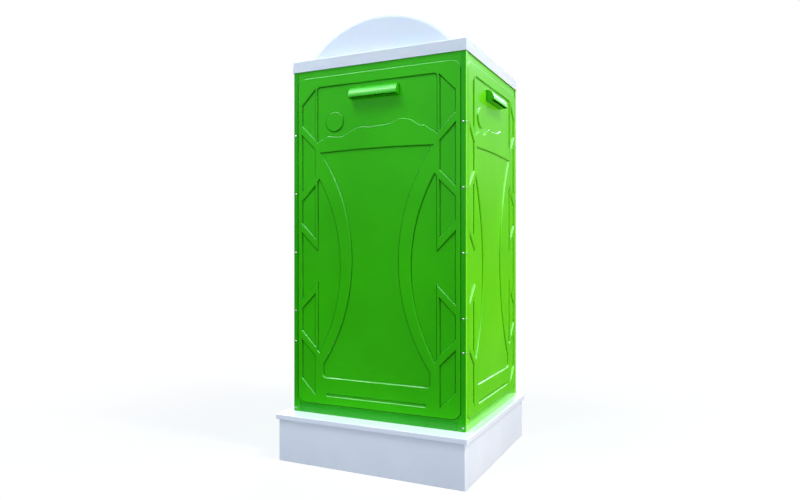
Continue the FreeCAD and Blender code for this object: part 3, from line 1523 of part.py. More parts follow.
def paper_holder():
    """A two-armed bracket on the right wall, with a spindle and a roll."""
    level = num(LINING_LEVEL)
    y = num("roll_place")
    out = level - num("roll_reach")
    half = num("roll_width / 2 + arm_play")
    arm = num("arm_wall")
    arm_high = num("arm_high")
    high = num("holder_high")
    thick = num("holder_thick")
    corner = Vector(-half - arm, y - high / 2, level - thick)
    bracket = Part.makeBox(2 * (half + arm), high, thick, corner)
    for side in (-1, 1):
        x = side * (half + arm / 2) - arm / 2
        corner = Vector(x, y - arm_high / 2, out)
        bracket = bracket.fuse(Part.makeBox(arm, arm_high, num("roll_reach"), corner))
        tip = Part.makeCylinder(arm_high / 2, arm, Vector(x, y, out), Vector(1, 0, 0))
        bracket = bracket.fuse(tip)
    bore_radius = num("journal_radius + run_fit")
    bore = Part.makeCylinder(bore_radius, 4 * half, Vector(-2 * half, y, out), Vector(1, 0, 0))
    bracket_item = feature("paper_bracket", bracket.cut(bore).removeSplitter())
    core = num("core_radius")
    journal_half = half + arm + num("journal_proud")
    spindle = Part.makeCylinder(
        num("journal_radius"), 2 * journal_half, Vector(-journal_half, y, out), Vector(1, 0, 0)
    )
    barrel_half = half - num("barrel_play")
    barrel_radius = core - num("core_gap")
    barrel = Part.makeCylinder(barrel_radius, 2 * barrel_half, Vector(-barrel_half, y, out), Vector(1, 0, 0))
    spindle_item = feature("paper_spindle", spindle.fuse(barrel))
    roll_half = num("roll_width") / 2
    roll = Part.makeCylinder(num("roll_radius"), 2 * roll_half, Vector(-roll_half, y, out), Vector(1, 0, 0))
    hole = Part.makeCylinder(core, 2 * roll_half, Vector(-roll_half, y, out), Vector(1, 0, 0))
    roll_item = feature("paper_roll", roll.cut(hole))
    for item in (bracket_item, spindle_item, roll_item):
        on_wall(item, "right")
        publish(item, item.Name)


waste_tank()
base_deck()
deck_joists()
floor_mat()
corner_post("corner_post_back_right", 1, 1)
corner_post("corner_post_back_left", -1, 1)
corner_post("corner_post_front_right", 1, -1)
corner_post("corner_post_front_left", -1, -1)
bottom_rail("bottom_rail_back", "back")
bottom_rail("bottom_rail_left", "left")
bottom_rail("bottom_rail_right", "right")
bottom_rail("door_sill", "front")
for side_name in ("back", "left", "right"):
    wall_panel("wall_panel_" + side_name, side_name)
    vent_hood("vent_hood_" + side_name, side_name)
rivet_heads()
roof_cap()
roof_dome()
dome_screws()
door_jamb("door_jamb_right", 1)
door_jamb("door_jamb_left", -1)
door_header()
threshold()
door_leaf()
hinge_leaves()
pull_handle("pull_handle_outer", EDGE_LEVEL, 1)
pull_handle("pull_handle_inner", DOOR_BACK, -1)
lock()
door_seal()
coat_hook()
vent_pipe()
toilet_pedestal()
toilet_seat()
seat_lid()
paper_holder()

doc.recompute()

for item in doc.Objects:
    if "Invalid" in item.State or "Error" in item.State:
        raise ValueError("%s did not build: %s" % (item.Label, item.State))
for item in subparts:
    if item.Shape.isNull() or not item.Shape.isValid() or not item.Shape.Solids:
        raise ValueError("%s has no valid solid" % item.Label)

os.makedirs("parts", exist_ok=True)
for item in subparts:
    item.Shape.exportStep(os.path.join("parts", item.Label + ".step"))
print("%d sub-parts written" % len(subparts))
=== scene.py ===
import math

import bmesh
import bpy
from mathutils import Matrix, Vector


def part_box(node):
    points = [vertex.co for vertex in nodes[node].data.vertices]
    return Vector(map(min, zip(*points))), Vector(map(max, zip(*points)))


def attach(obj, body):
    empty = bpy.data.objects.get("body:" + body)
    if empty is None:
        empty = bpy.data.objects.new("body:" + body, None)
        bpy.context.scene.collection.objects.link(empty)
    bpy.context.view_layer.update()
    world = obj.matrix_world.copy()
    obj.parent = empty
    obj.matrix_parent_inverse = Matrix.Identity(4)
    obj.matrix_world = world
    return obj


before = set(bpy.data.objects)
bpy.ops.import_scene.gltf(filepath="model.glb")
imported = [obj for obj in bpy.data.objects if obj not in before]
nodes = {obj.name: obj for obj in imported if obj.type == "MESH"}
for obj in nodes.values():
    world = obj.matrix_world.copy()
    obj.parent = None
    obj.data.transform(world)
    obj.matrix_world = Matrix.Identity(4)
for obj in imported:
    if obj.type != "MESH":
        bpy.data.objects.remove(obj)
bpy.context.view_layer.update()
print("frame loaded:", len(nodes), "nodes")


# camera: the photograph's eye, level, a little over four metres from the cabin
cameraSet = {
    "eye": (-1.711, 4.113, 1.283),
    "heading": (0.466, -0.885, 0.0),
    "sensor": 36.0,
    "lens": 30.9,
    "shift": (0.0675, -0.0025),
}

eyeData = bpy.data.cameras.new("photoEye")
eyeData.sensor_width = cameraSet["sensor"]
eyeData.lens = cameraSet["lens"]
eyeData.shift_x, eyeData.shift_y = cameraSet["shift"]
eye = bpy.data.objects.new("photoEye", eyeData)
bpy.context.scene.collection.objects.link(eye)
eye.location = cameraSet["eye"]
eye.rotation_euler = Vector(cameraSet["heading"]).to_track_quat("-Z", "Y").to_euler()
bpy.context.scene.camera = eye
bpy.context.scene.view_settings.view_transform = "Standard"


def linear(code):
    # an sRGB tone in hex as the linear values that the nodes take
    values = []
    for start in (0, 2, 4):
        part = int(code[start:start + 2], 16) / 255
        values.append(part / 12.92 if part <= 0.04045 else ((part + 0.055) / 1.055) ** 2.4)
    return (*values, 1.0)


def addNode(tree, kind, settings=None, links=None):
    # settings name a socket or a property, links name the socket that a wire goes into
    node = tree.nodes.new("ShaderNode" + kind)
    for key, value in (settings or {}).items():
        if isinstance(key, str) and hasattr(node, key) and key not in node.inputs:
            setattr(node, key, value)
        else:
            node.inputs[key].default_value = value
    for key, wire in (links or {}).items():
        tree.links.new(wire, node.inputs[key])
    return node


def mixTone(tree, mask, low, high, stops=(0.0, 1.0)):
    # two sRGB tones laid along a grey pattern
    ramp = addNode(tree, "ValToRGB", links={"Fac": mask})
    for element, stop, code in zip(ramp.color_ramp.elements, stops, (low, high)):
        element.position = stop
        element.color = linear(code)
    return ramp.outputs["Color"]


def mapSpan(tree, value, span, results, eased=False):
    # a value's span laid on a span of results
    settings = {"From Min": span[0], "From Max": span[1], "To Min": results[0], "To Max": results[1]}
    if eased:
        settings["interpolation_type"] = "SMOOTHSTEP"
    return addNode(tree, "MapRange", settings, {"Value": value}).outputs[0]


def layTone(tree, share, below, code):
    # an sRGB tone laid over another colour by a share
    return addNode(tree, "Mix", {"data_type": "RGBA", 7: linear(code)}, {0: share, 6: below}).outputs[2]


def addNoise(tree, place, scale, detail, roughness=0.5):
    settings = {"Scale": scale, "Detail": detail, "Roughness": roughness}
    return addNode(tree, "TexNoise", settings, {"Vector": place}).outputs["Fac"]


def startMaterial(name, settings):
    material = bpy.data.materials.new(name)
    material.use_nodes = True
    tree = material.node_tree
    tree.nodes.clear()
    shader = addNode(tree, "BsdfPrincipled", settings)
    out = addNode(tree, "OutputMaterial")
    tree.links.new(shader.outputs[0], out.inputs[0])
    place = addNode(tree, "TexCoord").outputs["Object"]
    return material, tree, shader, place


# lights: plain soft studio, a little blue on the long side, brighter and warmer on the short one;
# a glossy edge sees a darker room than the one that lights the walls, with a bright ceiling and strip lamp
studioSet = {
    "skyLow": "98a4b6",
    "skyHigh": "a3afc1",
    "skyTop": 0.8,               # sine of the height where that upper tone is reached
    "floor": "f2f3f5",
    "floorBounce": "54585e",     # what the walls get back from the floor
    "floorSheen": "3c3f44",      # what a glossy surface sees of it
    "sheenLow": "3a3e46",        # what it sees of the room near the horizon
    "sheenHigh": "b4bcc8",       # and higher up
    "sheenSpan": (0.03, 0.26),   # sine of the height between those two
    "sheenTop": 16.0,            # how much brighter the ceiling looks in a glossy edge
    "sheenTopSpan": (0.34, 0.70),
    "glowGain": 13.0,            # how much brighter the room behind the door side looks in such an edge
    "glowSpan": (0.26, 0.33),
    "glowSide": (-0.2, -0.5),    # how far towards -Y that room starts, and where it is whole
    "floorRadius": 40.0,
    "floorSides": 96,
    "floorShadow": (1.3, 3.6),   # metres from the middle over which the floor's shadow fades out
    "floorGlow": 0.7,            # how white the floor is kept near the cabin
    "aim": (0, 0, 1.1),
    # name: place, size, power, tint
    "lamps": {
        "keyLamp": ((-6.0, 0.4, 0.7), 2.4, 280.0, (1.0, 0.975, 0.93)),
        "highLamp": ((-5.0, 1.0, 9.0), 1.2, 330.0, (1.0, 0.99, 0.97)),
        "overLamp": ((1.7, 3.3, 7.4), 3.0, 210.0, (0.95, 0.98, 1.0)),
        "fillLamp": ((0.8, 7.6, 2.3), 1.8, 196.0, (0.84, 0.92, 1.0)),
        "doorLamp": ((1.6, -6.4, 3.6), 3.0, 170.0, (1.0, 0.99, 0.97)),
    },
    # strip over the long side, seen only in glossy edges: place, length and width, power
    "strip": ((3.25, 3.3, 7.4), (3.8, 0.25), 540.0),
}


def addLamp(name, place, aim, power, tint):
    data = bpy.data.lights.new(name, "AREA")
    data.energy = power
    data.color = tint
    lamp = bpy.data.objects.new(name, data)
    bpy.context.scene.collection.objects.link(lamp)
    lamp.location = place
    lamp.rotation_euler = (Vector(aim) - Vector(place)).to_track_quat("-Z", "Y").to_euler()
    return lamp


def addSky():
    # white to the camera, toned for the light on the walls, and toned again for what their gloss shows
    world = bpy.data.worlds.new("studio")
    bpy.context.scene.world = world
    world.use_nodes = True
    tree = world.node_tree
    tree.nodes.clear()
    way = addNode(tree, "TexCoord").outputs["Generated"]
    parts = addNode(tree, "SeparateXYZ", links={"Vector": way})
    height = parts.outputs["Z"]
    tone = mixTone(tree, height, studioSet["skyLow"], studioSet["skyHigh"], (0.0, studioSet["skyTop"]))
    path = addNode(tree, "LightPath")
    sheen = mixTone(tree, height, studioSet["sheenLow"], studioSet["sheenHigh"], studioSet["sheenSpan"])
    room = addNode(tree, "Mix", {"data_type": "RGBA"},
                   {0: path.outputs["Is Glossy Ray"], 6: tone, 7: sheen})
    ceiling = mapSpan(tree, height, studioSet["sheenTopSpan"], (0.0, studioSet["sheenTop"] - 1), True)
    glow = mapSpan(tree, height, studioSet["glowSpan"], (0.0, studioSet["glowGain"] - 1), True)
    behind = mapSpan(tree, parts.outputs["Y"], studioSet["glowSide"], (0.0, 1.0))
    back = addNode(tree, "Math", {"operation": "MULTIPLY"}, {0: glow, 1: behind})
    most = addNode(tree, "Math", {"operation": "MAXIMUM"}, {0: ceiling, 1: back.outputs[0]})
    gain = addNode(tree, "Math", {"operation": "MULTIPLY_ADD", 2: 1.0},
                   {0: most.outputs[0], 1: path.outputs["Is Glossy Ray"]})
    sky = addNode(tree, "Background", links={"Color": room.outputs[2], "Strength": gain.outputs[0]})
    white = addNode(tree, "Background", {"Color": (1, 1, 1, 1), "Strength": 1.0})
    seen = addNode(tree, "Math", {"operation": "MAXIMUM"},
                   {0: path.outputs["Is Camera Ray"], 1: path.outputs["Is Transmission Ray"]})
    pick = addNode(tree, "MixShader", links={0: seen.outputs[0], 1: sky.outputs[0], 2: white.outputs[0]})
    out = addNode(tree, "OutputWorld")
    tree.links.new(pick.outputs[0], out.inputs[0])


def addFloor():
    form = bmesh.new()
    bmesh.ops.create_circle(form, cap_ends=True, segments=studioSet["floorSides"],
                            radius=studioSet["floorRadius"])
    mesh = bpy.data.meshes.new("studioFloor")
    form.to_mesh(mesh)
    form.free()
    floor = bpy.data.objects.new("studioFloor", mesh)
    bpy.context.scene.collection.objects.link(floor)
    # matt seamless paper: takes the shadow, and reads white to the camera
    paper = bpy.data.materials.new("paleFloorPaper")
    paper.use_nodes = True
    tree = paper.node_tree
    tree.nodes.clear()
    path = addNode(tree, "LightPath")
    tone = addNode(tree, "Mix", {"data_type": "RGBA", 6: linear(studioSet["floorBounce"]),
                                 7: linear(studioSet["floor"])}, {0: path.outputs["Is Camera Ray"]})
    toned = layTone(tree, path.outputs["Is Glossy Ray"], tone.outputs[2], studioSet["floorSheen"])
    matt = addNode(tree, "BsdfDiffuse", links={"Color": toned})
    glow = addNode(tree, "Emission", {"Color": (1, 1, 1, 1), "Strength": 1.0})
    spot = addNode(tree, "TexCoord").outputs["Object"]
    away = addNode(tree, "VectorMath", {"operation": "LENGTH"}, {0: spot})
    fade = mapSpan(tree, away.outputs["Value"], studioSet["floorShadow"],
                   (studioSet["floorGlow"], 1.0), True)
    seen = addNode(tree, "Math", {"operation": "MULTIPLY"}, {0: path.outputs["Is Camera Ray"], 1: fade})
    pick = addNode(tree, "MixShader", links={0: seen.outputs[0], 1: matt.outputs[0], 2: glow.outputs[0]})
    out = addNode(tree, "OutputMaterial")
    tree.links.new(pick.outputs[0], out.inputs[0])
    mesh.materials.append(paper)


def addLamps():
    for name, (spot, size, power, tint) in studioSet["lamps"].items():
        lamp = addLamp(name, spot, studioSet["aim"], power, tint)
        lamp.data.shape = "DISK"
        lamp.data.size = size
        # only the door side takes its gloss from its own lamp
        lamp.visible_glossy = name == "doorLamp"
    spot, span, power = studioSet["strip"]
    strip = addLamp("stripLamp", spot, (spot[0], *studioSet["aim"][1:]), power, (1, 1, 1))
    strip.data.shape = "RECTANGLE"
    strip.data.size, strip.data.size_y = span
    strip.visible_diffuse = False


addSky()
addFloor()
addLamps()
print("studio ready")


def laySkin(tree, shader, place, skin):
    # a fine surface pattern over edges softened as the mould leaves them
    soft = addNode(tree, "Bevel", {"samples": skin["samples"], "Radius": skin["edge"]})
    marks = addNoise(tree, place, 1 / skin["size"], 2.0)
    bump = addNode(tree, "Bump", {"Strength": skin["strength"], "Distance": skin["deep"]},
                   {"Height": marks, "Normal": soft.outputs["Normal"]})
    tree.links.new(bump.outputs["Normal"], shader.inputs["Normal"])
    return bump


# vacuum formed polyethylene sheet: deep glossy green, a soft ripple from forming, hair-fine grain;
# the faces on the bright side get a lighter, yellower copy of the green, painted light for the stronger
# lamp there;
# posts, rails and hoods have tones of their own; painted shade darkens concave edges facing down or aside
greenSet = {
    "base": "37bb08",
    "deep": "32b006",
    "post": "28a909",
    "postDeep": "24a007",
    "rail": "1f9c0a",
    "railDeep": "1b9208",
    # the bright-side tones among these: lighter, yellower copies of the green that paint in the stronger
    # light there
    "postLitSide": "86ea22",
    "postLitSideDeep": "7ee31d",
    "hood": "2fae0a",
    "hoodDeep": "2ba80a",
    "hoodLitSide": "4cc412",
    "hoodLitSideDeep": "46bd10",
    "litSide": "70dc16",
    "litSideDeep": "68d413",
    "patch": 0.55,             # metres between slow colour changes
    "patchStops": (0.35, 0.65),
    "turn": 0.0006,            # half the width of the change to the lighter tone painted for the bright side's light
    "ripple": 0.22,            # metres between waves of the formed sheet
    "rippleDeep": 0.0002,
    "smear": 3.0,              # handled patches per metre, duller than the rest
    "smearSpan": (0.3, 0.7),
    "roughness": (0.17, 0.24),
    "hoodRoughness": (0.34, 0.41),
    "specular": 0.38,
    "hoodSpecular": 0.2,
    # painted shade: near-black green laid into concave edges, strongest where they face down or aside
    "creaseShade": "052a03",
    "creaseReach": 0.0055,     # metres from a concave edge that its painted shade reaches
    "creaseOpen": (0.98, 0.85),  # share of open air where the painted shade starts, and where it's whole
    "creaseShare": 0.95,
    "creaseSlope": (0.16, 0.0),  # upward lean of a foot where the painted shade is least, and of one facing down or aside where it is whole
    "creaseShadeFacingUp": 0.12,      # share of the painted shade left on a foot that faces up
    "creaseSamples": (8, 6),
    # grain marks: the real 0.6 mm drawn coarser to show
    "skin": {"samples": 6, "edge": 0.0017, "size": 0.003, "strength": 0.02, "deep": 0.0001},
}


def greenSheet(name, litSideFrom, tones=("deep", "base", "litSideDeep", "litSide"),
               finish=("roughness", "specular")):
    # the X in metres given after the name: below it stands the lighter tone, painted light of the bright
    # side
    settings = {"IOR": 1.5, "Specular IOR Level": greenSet[finish[1]]}
    material, tree, shader, place = startMaterial(name, settings)
    slow = addNoise(tree, place, 1 / greenSet["patch"], 3.0)
    low, high, litLow, litHigh = [greenSet[tone] for tone in tones]
    shaded = mixTone(tree, slow, low, high, greenSet["patchStops"])
    # the same pattern in the lighter bright-side tones, painted light
    litSideTones = mixTone(tree, slow, litLow, litHigh, greenSet["patchStops"])
    across = addNode(tree, "SeparateXYZ", links={"Vector": place}).outputs["X"]
    turn = greenSet["turn"]
    # where the painted light of the bright side takes over from the plain green
    side = mapSpan(tree, across, (litSideFrom + turn, litSideFrom - turn), (0.0, 1.0))
    tone = addNode(tree, "Mix", {"data_type": "RGBA"}, {0: side, 6: shaded, 7: litSideTones})

    # painted shade at the relief's concave edges, found by ambient occlusion and thinned where an edge
    # faces up
    openSamples, slopeSamples = greenSet["creaseSamples"]
    nook = addNode(tree, "AmbientOcclusion", {"samples": openSamples, "only_local": True,
                                              "Distance": greenSet["creaseReach"]})
    creaseShade = mapSpan(tree, nook.outputs["AO"], greenSet["creaseOpen"], (0.0, greenSet["creaseShare"]))
    turned = addNode(tree, "Bevel", {"samples": slopeSamples, "Radius": greenSet["creaseReach"]})
    slope = addNode(tree, "SeparateXYZ", links={"Vector": turned.outputs["Normal"]}).outputs["Z"]
    facingShare = mapSpan(tree, slope, greenSet["creaseSlope"], (greenSet["creaseShadeFacingUp"], 1.0))
    share = addNode(tree, "Math", {"operation": "MULTIPLY"}, {0: creaseShade, 1: facingShare})
    creaseShaded = layTone(tree, share.outputs[0], tone.outputs[2], greenSet["creaseShade"])
    tree.links.new(creaseShaded, shader.inputs["Base Color"])

    smear = addNoise(tree, place, greenSet["smear"], 3.0)
    gloss = mapSpan(tree, smear, greenSet["smearSpan"], greenSet[finish[0]])
    tree.links.new(gloss, shader.inputs["Roughness"])
    bump = laySkin(tree, shader, place, greenSet["skin"])
    soft = bump.inputs["Normal"].links[0].from_socket
    ripple = addNoise(tree, place, 1 / greenSet["ripple"], 1.0)
    wave = addNode(tree, "Bump", {"Strength": 1.0, "Distance": greenSet["rippleDeep"]},
                   {"Height": ripple, "Normal": soft})
    tree.links.new(wave.outputs["Normal"], bump.inputs["Normal"])
    return material


# rotationally moulded polyethylene: white with a cool cast, satin, faint orange peel, dusty at the foot
whiteSet = {
    "base": "eef1f8",
    "cloud": "e8ecf4",
    "dust": "cfd0cd",
    "dustTop": 0.14,     # metres above the ground where the dust ends
    "dustShare": 0.35,
    "clouds": 2.2,       # slow patches per metre
    "cloudStops": (0.35, 0.6),
    "specks": 60.0,      # dust specks per metre
    "roughness": 0.36,
    "specular": 0.3,
    "skin": {"samples": 6, "edge": 0.003, "size": 0.005, "strength": 0.05, "deep": 0.0004},
}


def whiteMoulding():
    settings = {"IOR": 1.51, "Roughness": whiteSet["roughness"],
                "Specular IOR Level": whiteSet["specular"]}
    material, tree, shader, place = startMaterial("rotomouldedPolyethyleneWhite", settings)
    slow = addNoise(tree, place, whiteSet["clouds"], 4.0, 0.6)
    tone = mixTone(tree, slow, whiteSet["cloud"], whiteSet["base"], whiteSet["cloudStops"])
    height = addNode(tree, "SeparateXYZ", links={"Vector": place}).outputs["Z"]
    low = mapSpan(tree, height, (0.0, whiteSet["dustTop"]), (whiteSet["dustShare"], 0.0))
    specks = addNoise(tree, place, whiteSet["specks"], 6.0, 0.7)
    share = addNode(tree, "Math", {"operation": "MULTIPLY"}, {0: low, 1: specks})
    dusty = layTone(tree, share.outputs[0], tone, whiteSet["dust"])
    tree.links.new(dusty, shader.inputs["Base Color"])
    laySkin(tree, shader, place, whiteSet["skin"])
    return material


# thermoformed polyethylene of the dome and the roof under it: light soaks in and evens out its shade
domeSet = {
    "base": "dfe6f0",
    "cloud": "dae2ec",
    "rim": "dadfe7",
    "rimCloud": "d5dbe3",
    "roughness": 0.58,
    "specular": 0.12,
    "soak": 0.2,
    "soakDeep": 0.01,
    "clouds": 3.0,       # slow patches per metre
    "cloudStops": (0.35, 0.65),
    "skin": {"samples": 6, "edge": 0.002, "size": 0.09, "strength": 0.25, "deep": 0.0006},
}


def domeSheet(name, base, cloud):
    settings = {"IOR": 1.51, "Roughness": domeSet["roughness"], "Specular IOR Level": domeSet["specular"],
                "Subsurface Weight": domeSet["soak"], "Subsurface Scale": domeSet["soakDeep"]}
    material, tree, shader, place = startMaterial(name, settings)
    slow = addNoise(tree, place, domeSet["clouds"], 2.0)
    tone = mixTone(tree, slow, domeSet[cloud], domeSet[base], domeSet["cloudStops"])
    tree.links.new(tone, shader.inputs["Base Color"])
    laySkin(tree, shader, place, domeSet["skin"])
    return material


# hard plastics: slight mottling and a fine spark-eroded grain tell them from paint
plasticSet = {
    # name: base, mottled tone, roughness, grain size in metres
    "injectionMouldedAbsGrey": ("7d8288", "747980", 0.46, 0.0012),
    "extrudedPvcPipeGrey": ("90969a", "898f94", 0.34, 0.004),
    "injectionMouldedPolypropyleneWhite": ("e9e8e3", "e2e1dc", 0.20, 0.006),
}
plasticMottle = 12.0     # patches per metre
plasticSkin = {"samples": 4, "edge": 0.0008, "strength": 0.3, "deep": 0.0001}


def hardPlastic(name):
    base, mottle, roughness, grain = plasticSet[name]
    material, tree, shader, place = startMaterial(name, {"IOR": 1.5, "Roughness": roughness})
    mottling = addNoise(tree, place, plasticMottle, 3.0)
    tree.links.new(mixTone(tree, mottling, mottle, base, (0.4, 0.6)), shader.inputs["Base Color"])
    laySkin(tree, shader, place, {"size": grain, **plasticSkin})
    return material


# rubber: near black, matt, pebbled, with grey dust caught in it
rubberSet = {
    # name: base, dust, pebble in metres, depth in metres, roughness
    "vulcanisedRubberMat": ("1c1d1f", "4a4844", 0.006, 0.0006, 0.72),
    "extrudedEpdmSeal": ("151617", "262728", 0.002, 0.0001, 0.60),
}
rubberDusting = 14.0     # patches of dust per metre


def rubber(name):
    base, dust, pebble, deep, roughness = rubberSet[name]
    material, tree, shader, place = startMaterial(name, {"IOR": 1.52, "Roughness": roughness})
    dusting = addNoise(tree, place, rubberDusting, 6.0, 0.65)
    tree.links.new(mixTone(tree, dusting, base, dust, (0.45, 0.85)), shader.inputs["Base Color"])
    cells = addNode(tree, "TexVoronoi", {"Scale": 1 / pebble}, {"Vector": place})
    bump = addNode(tree, "Bump", {"Strength": 0.5, "Distance": deep, "invert": True},
                   {"Height": cells.outputs["Distance"]})
    tree.links.new(bump.outputs["Normal"], shader.inputs["Normal"])
    return material


# metals: each one's colour, its span of roughness, and how tight its marks run along X, Y and Z per metre
metalSet = {
    "brushedStainlessSteel": ("c4c5c6", (0.24, 0.40), (60.0, 60.0, 1400.0)),
    "zincPlatedSteel": ("bcbfc3", (0.30, 0.48), (90.0, 90.0, 90.0)),
    "extrudedAluminium": ("64666a", (0.48, 0.60), (12.0, 900.0, 900.0)),
    "pressedAluminiumRivet": ("a39b9d", (0.42, 0.56), (300.0, 300.0, 300.0)),
}
# what they share: the marks' span, how pale one gets, the worn edge and the marks' depth in metres
metalWear = {
    "span": (0.3, 0.7),
    "pale": 0.12,
    "samples": 4,
    "edge": 0.0006,
    "strength": 0.15,
    "deep": 0.0001,
}


def metal(name):
    base, roughness, tightness = metalSet[name]
    material, tree, shader, place = startMaterial(name, {"Metallic": 1.0})
    spread = addNode(tree, "Mapping", {"Scale": tightness}, {"Vector": place})
    marks = addNoise(tree, spread.outputs["Vector"], 1.0, 3.0)
    paler = mapSpan(tree, marks, metalWear["span"], (0.0, metalWear["pale"]))
    tone = addNode(tree, "Mix", {"data_type": "RGBA", 6: linear(base), 7: linear("ffffff")}, {0: paler})
    tree.links.new(tone.outputs[2], shader.inputs["Base Color"])
    gloss = mapSpan(tree, marks, metalWear["span"], roughness)
    tree.links.new(gloss, shader.inputs["Roughness"])
    soft = addNode(tree, "Bevel", {"samples": metalWear["samples"], "Radius": metalWear["edge"]})
    bump = addNode(tree, "Bump", {"Strength": metalWear["strength"], "Distance": metalWear["deep"]},
                   {"Height": marks, "Normal": soft.outputs["Normal"]})
    tree.links.new(bump.outputs["Normal"], shader.inputs["Normal"])
    return material


# printed acetal dial of the lock: green above, red below, flecked where the print has worn
dialSet = {
    "free": "2f9a3c",
    "taken": "b3261e",
    "worn": "e8e8e4",
    "middle": 1.290,     # height of the spindle's axis
    "flecks": 900.0,     # per metre
    "fleckSpan": (0.62, 0.8),
    "fleckShare": 0.5,
    "roughness": 0.3,
}


def dialFace():
    settings = {"IOR": 1.48, "Roughness": dialSet["roughness"]}
    material, tree, shader, place = startMaterial("printedAcetalDial", settings)
    height = addNode(tree, "SeparateXYZ", links={"Vector": place}).outputs["Z"]
    side = addNode(tree, "Math", {"operation": "GREATER_THAN", 1: dialSet["middle"]}, {0: height})
    printed = mixTone(tree, side.outputs[0], dialSet["taken"], dialSet["free"])
    flecks = addNoise(tree, place, dialSet["flecks"], 2.0)
    share = mapSpan(tree, flecks, dialSet["fleckSpan"], (0.0, dialSet["fleckShare"]))
    tree.links.new(layTone(tree, share, printed, dialSet["worn"]), shader.inputs["Base Color"])
    return material


# creped tissue on a brown card core: rings of wound sheet on the ends, fine creping round the roll
tissueSet = {
    "tissue": "ece9e2",
    "shade": "d6d2c8",
    "card": "8a6b4b",
    "coreEdge": 0.0215,         # radius to which the card shows
    "layer": 0.0012,            # metres between wound layers, the real 0.15 mm drawn coarser to show
    "crepe": 0.0014,
    "crepeDeep": 0.0004,
    "roughness": 0.9,
    "fuzz": 0.2,
}


def tissueRoll(rollBox):
    middleX, middleZ = [(rollBox[0][axis] + rollBox[1][axis]) / 2 for axis in (0, 2)]
    settings = {"Roughness": tissueSet["roughness"], "Sheen Weight": tissueSet["fuzz"], "IOR": 1.45}
    material, tree, shader, place = startMaterial("crepedTissueRoll", settings)
    centred = addNode(tree, "VectorMath", {"operation": "SUBTRACT", 1: (middleX, 0, middleZ)}, {0: place})
    flat = addNode(tree, "VectorMath", {"operation": "MULTIPLY", 1: (1, 0, 1)}, {0: centred.outputs[0]})
    radius = addNode(tree, "VectorMath", {"operation": "LENGTH"}, {0: flat.outputs[0]}).outputs["Value"]
    perLayer = 2 * math.pi / tissueSet["layer"]
    turns = addNode(tree, "Math", {"operation": "MULTIPLY", 1: perLayer}, {0: radius})
    rings = addNode(tree, "Math", {"operation": "SINE"}, {0: turns.outputs[0]})
    tone = mixTone(tree, rings.outputs[0], tissueSet["shade"], tissueSet["tissue"], (0.0, 0.4))
    core = addNode(tree, "Math", {"operation": "LESS_THAN", 1: tissueSet["coreEdge"]}, {0: radius})
    whole = layTone(tree, core.outputs[0], tone, tissueSet["card"])
    tree.links.new(whole, shader.inputs["Base Color"])
    crepe = addNoise(tree, place, 1 / tissueSet["crepe"], 3.0)
    bump = addNode(tree, "Bump", {"Strength": 0.5, "Distance": tissueSet["crepeDeep"]}, {"Height": crepe})
    tree.links.new(bump.outputs["Normal"], shader.inputs["Normal"])
    return material


def paint(names, material):
    for name in names:
        mesh = nodes[name].data
        mesh.materials.clear()
        mesh.materials.append(material)


# the X in metres below which a green piece takes the bright side's painted light: past the cabin for the
# pieces that don't
litSideSet = {"none": -9.0, "wall": -0.50, "hood": -0.5535, "post": -0.5492}

zinc = metal("zincPlatedSteel")
rivetMetal = metal("pressedAluminiumRivet")
paint(nodes, greenSheet("vacuumFormedPolyethyleneGreen", litSideSet["none"]))
# the bright side's wall and rail, painted lighter for the light on that side
paint(["wall_panel_left", "bottom_rail_left"],
      greenSheet("vacuumFormedPolyethyleneLitSide", litSideSet["wall"]))
# hoods, the one on the bright side painted lighter for the light there
paint(["vent_hood_back", "vent_hood_left", "vent_hood_right"],
      greenSheet("injectionMouldedPolyethyleneHood", litSideSet["hood"],
                 ("hoodDeep", "hood", "hoodLitSideDeep", "hoodLitSide"), ("hoodRoughness", "hoodSpecular")))
paint(["bottom_rail_back", "bottom_rail_right", "door_sill"],
      greenSheet("extrudedPolyethyleneRailGreen", litSideSet["none"],
                 ("railDeep", "rail", "railDeep", "rail")))
# posts, their faces on the bright side painted lighter for the light there
paint(["corner_post_back_left", "corner_post_front_left",
       "corner_post_back_right", "corner_post_front_right"],
      greenSheet("extrudedPolyethylenePostGreen", litSideSet["post"],
                 ("postDeep", "post", "postLitSideDeep", "postLitSide")))
paint(["waste_tank", "base_deck", "deck_joists"], whiteMoulding())
paint(["roof_dome"], domeSheet("thermoformedPolyethyleneTranslucent", "base", "cloud"))
paint(["roof_cap"], domeSheet("thermoformedPolyethyleneWhite", "rim", "rimCloud"))
paint(["floor_mat"], rubber("vulcanisedRubberMat"))
paint(["door_seal"], rubber("extrudedEpdmSeal"))
paint(["post_rivets"], rivetMetal)
paint(["threshold_strip"], metal("extrudedAluminium"))
paint(["hinge_leaves_jamb", "hinge_leaves_door", "hinge_pins", "strike_plate", "dome_screws",
       "lock_bolt", "lock_spindle", "lid_hinge_pin"], zinc)
paint(["pull_handle_outer", "pull_handle_inner", "coat_hook"], metal("brushedStainlessSteel"))
paint(["lock_case", "lock_bezel", "lock_lever", "paper_bracket", "paper_spindle"],
      hardPlastic("injectionMouldedAbsGrey"))
paint(["vent_pipe", "vent_pipe_clips"], hardPlastic("extrudedPvcPipeGrey"))
paint(["toilet_pedestal", "drop_funnel", "toilet_seat", "seat_lid", "lid_hinge_brackets"],
      hardPlastic("injectionMouldedPolypropyleneWhite"))
paint(["lock_indicator"], dialFace())
paint(["paper_roll"], tissueRoll(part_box("paper_roll")))
print("materials ready:", len(bpy.data.materials))


# pan head and sunk screws with a drilled socket, on the small fittings; sizes in metres
screwSet = {
    "radius": 0.0042,
    "crown": 0.78,        # share of the radius at the top of the head
    "socket": 0.0019,
    "socketDeep": 0.0006,
    "socketShare": 0.8,   # most of a low head's rise that its socket takes
    "sides": 14,
    "panRise": 0.0020,
    "sunkRise": 0.0005,
}


def faceWay(outward):
    # the turn that stands a head's axis out of the surface
    return Vector((0, 0, 1)).rotation_difference(outward).to_matrix().to_4x4()


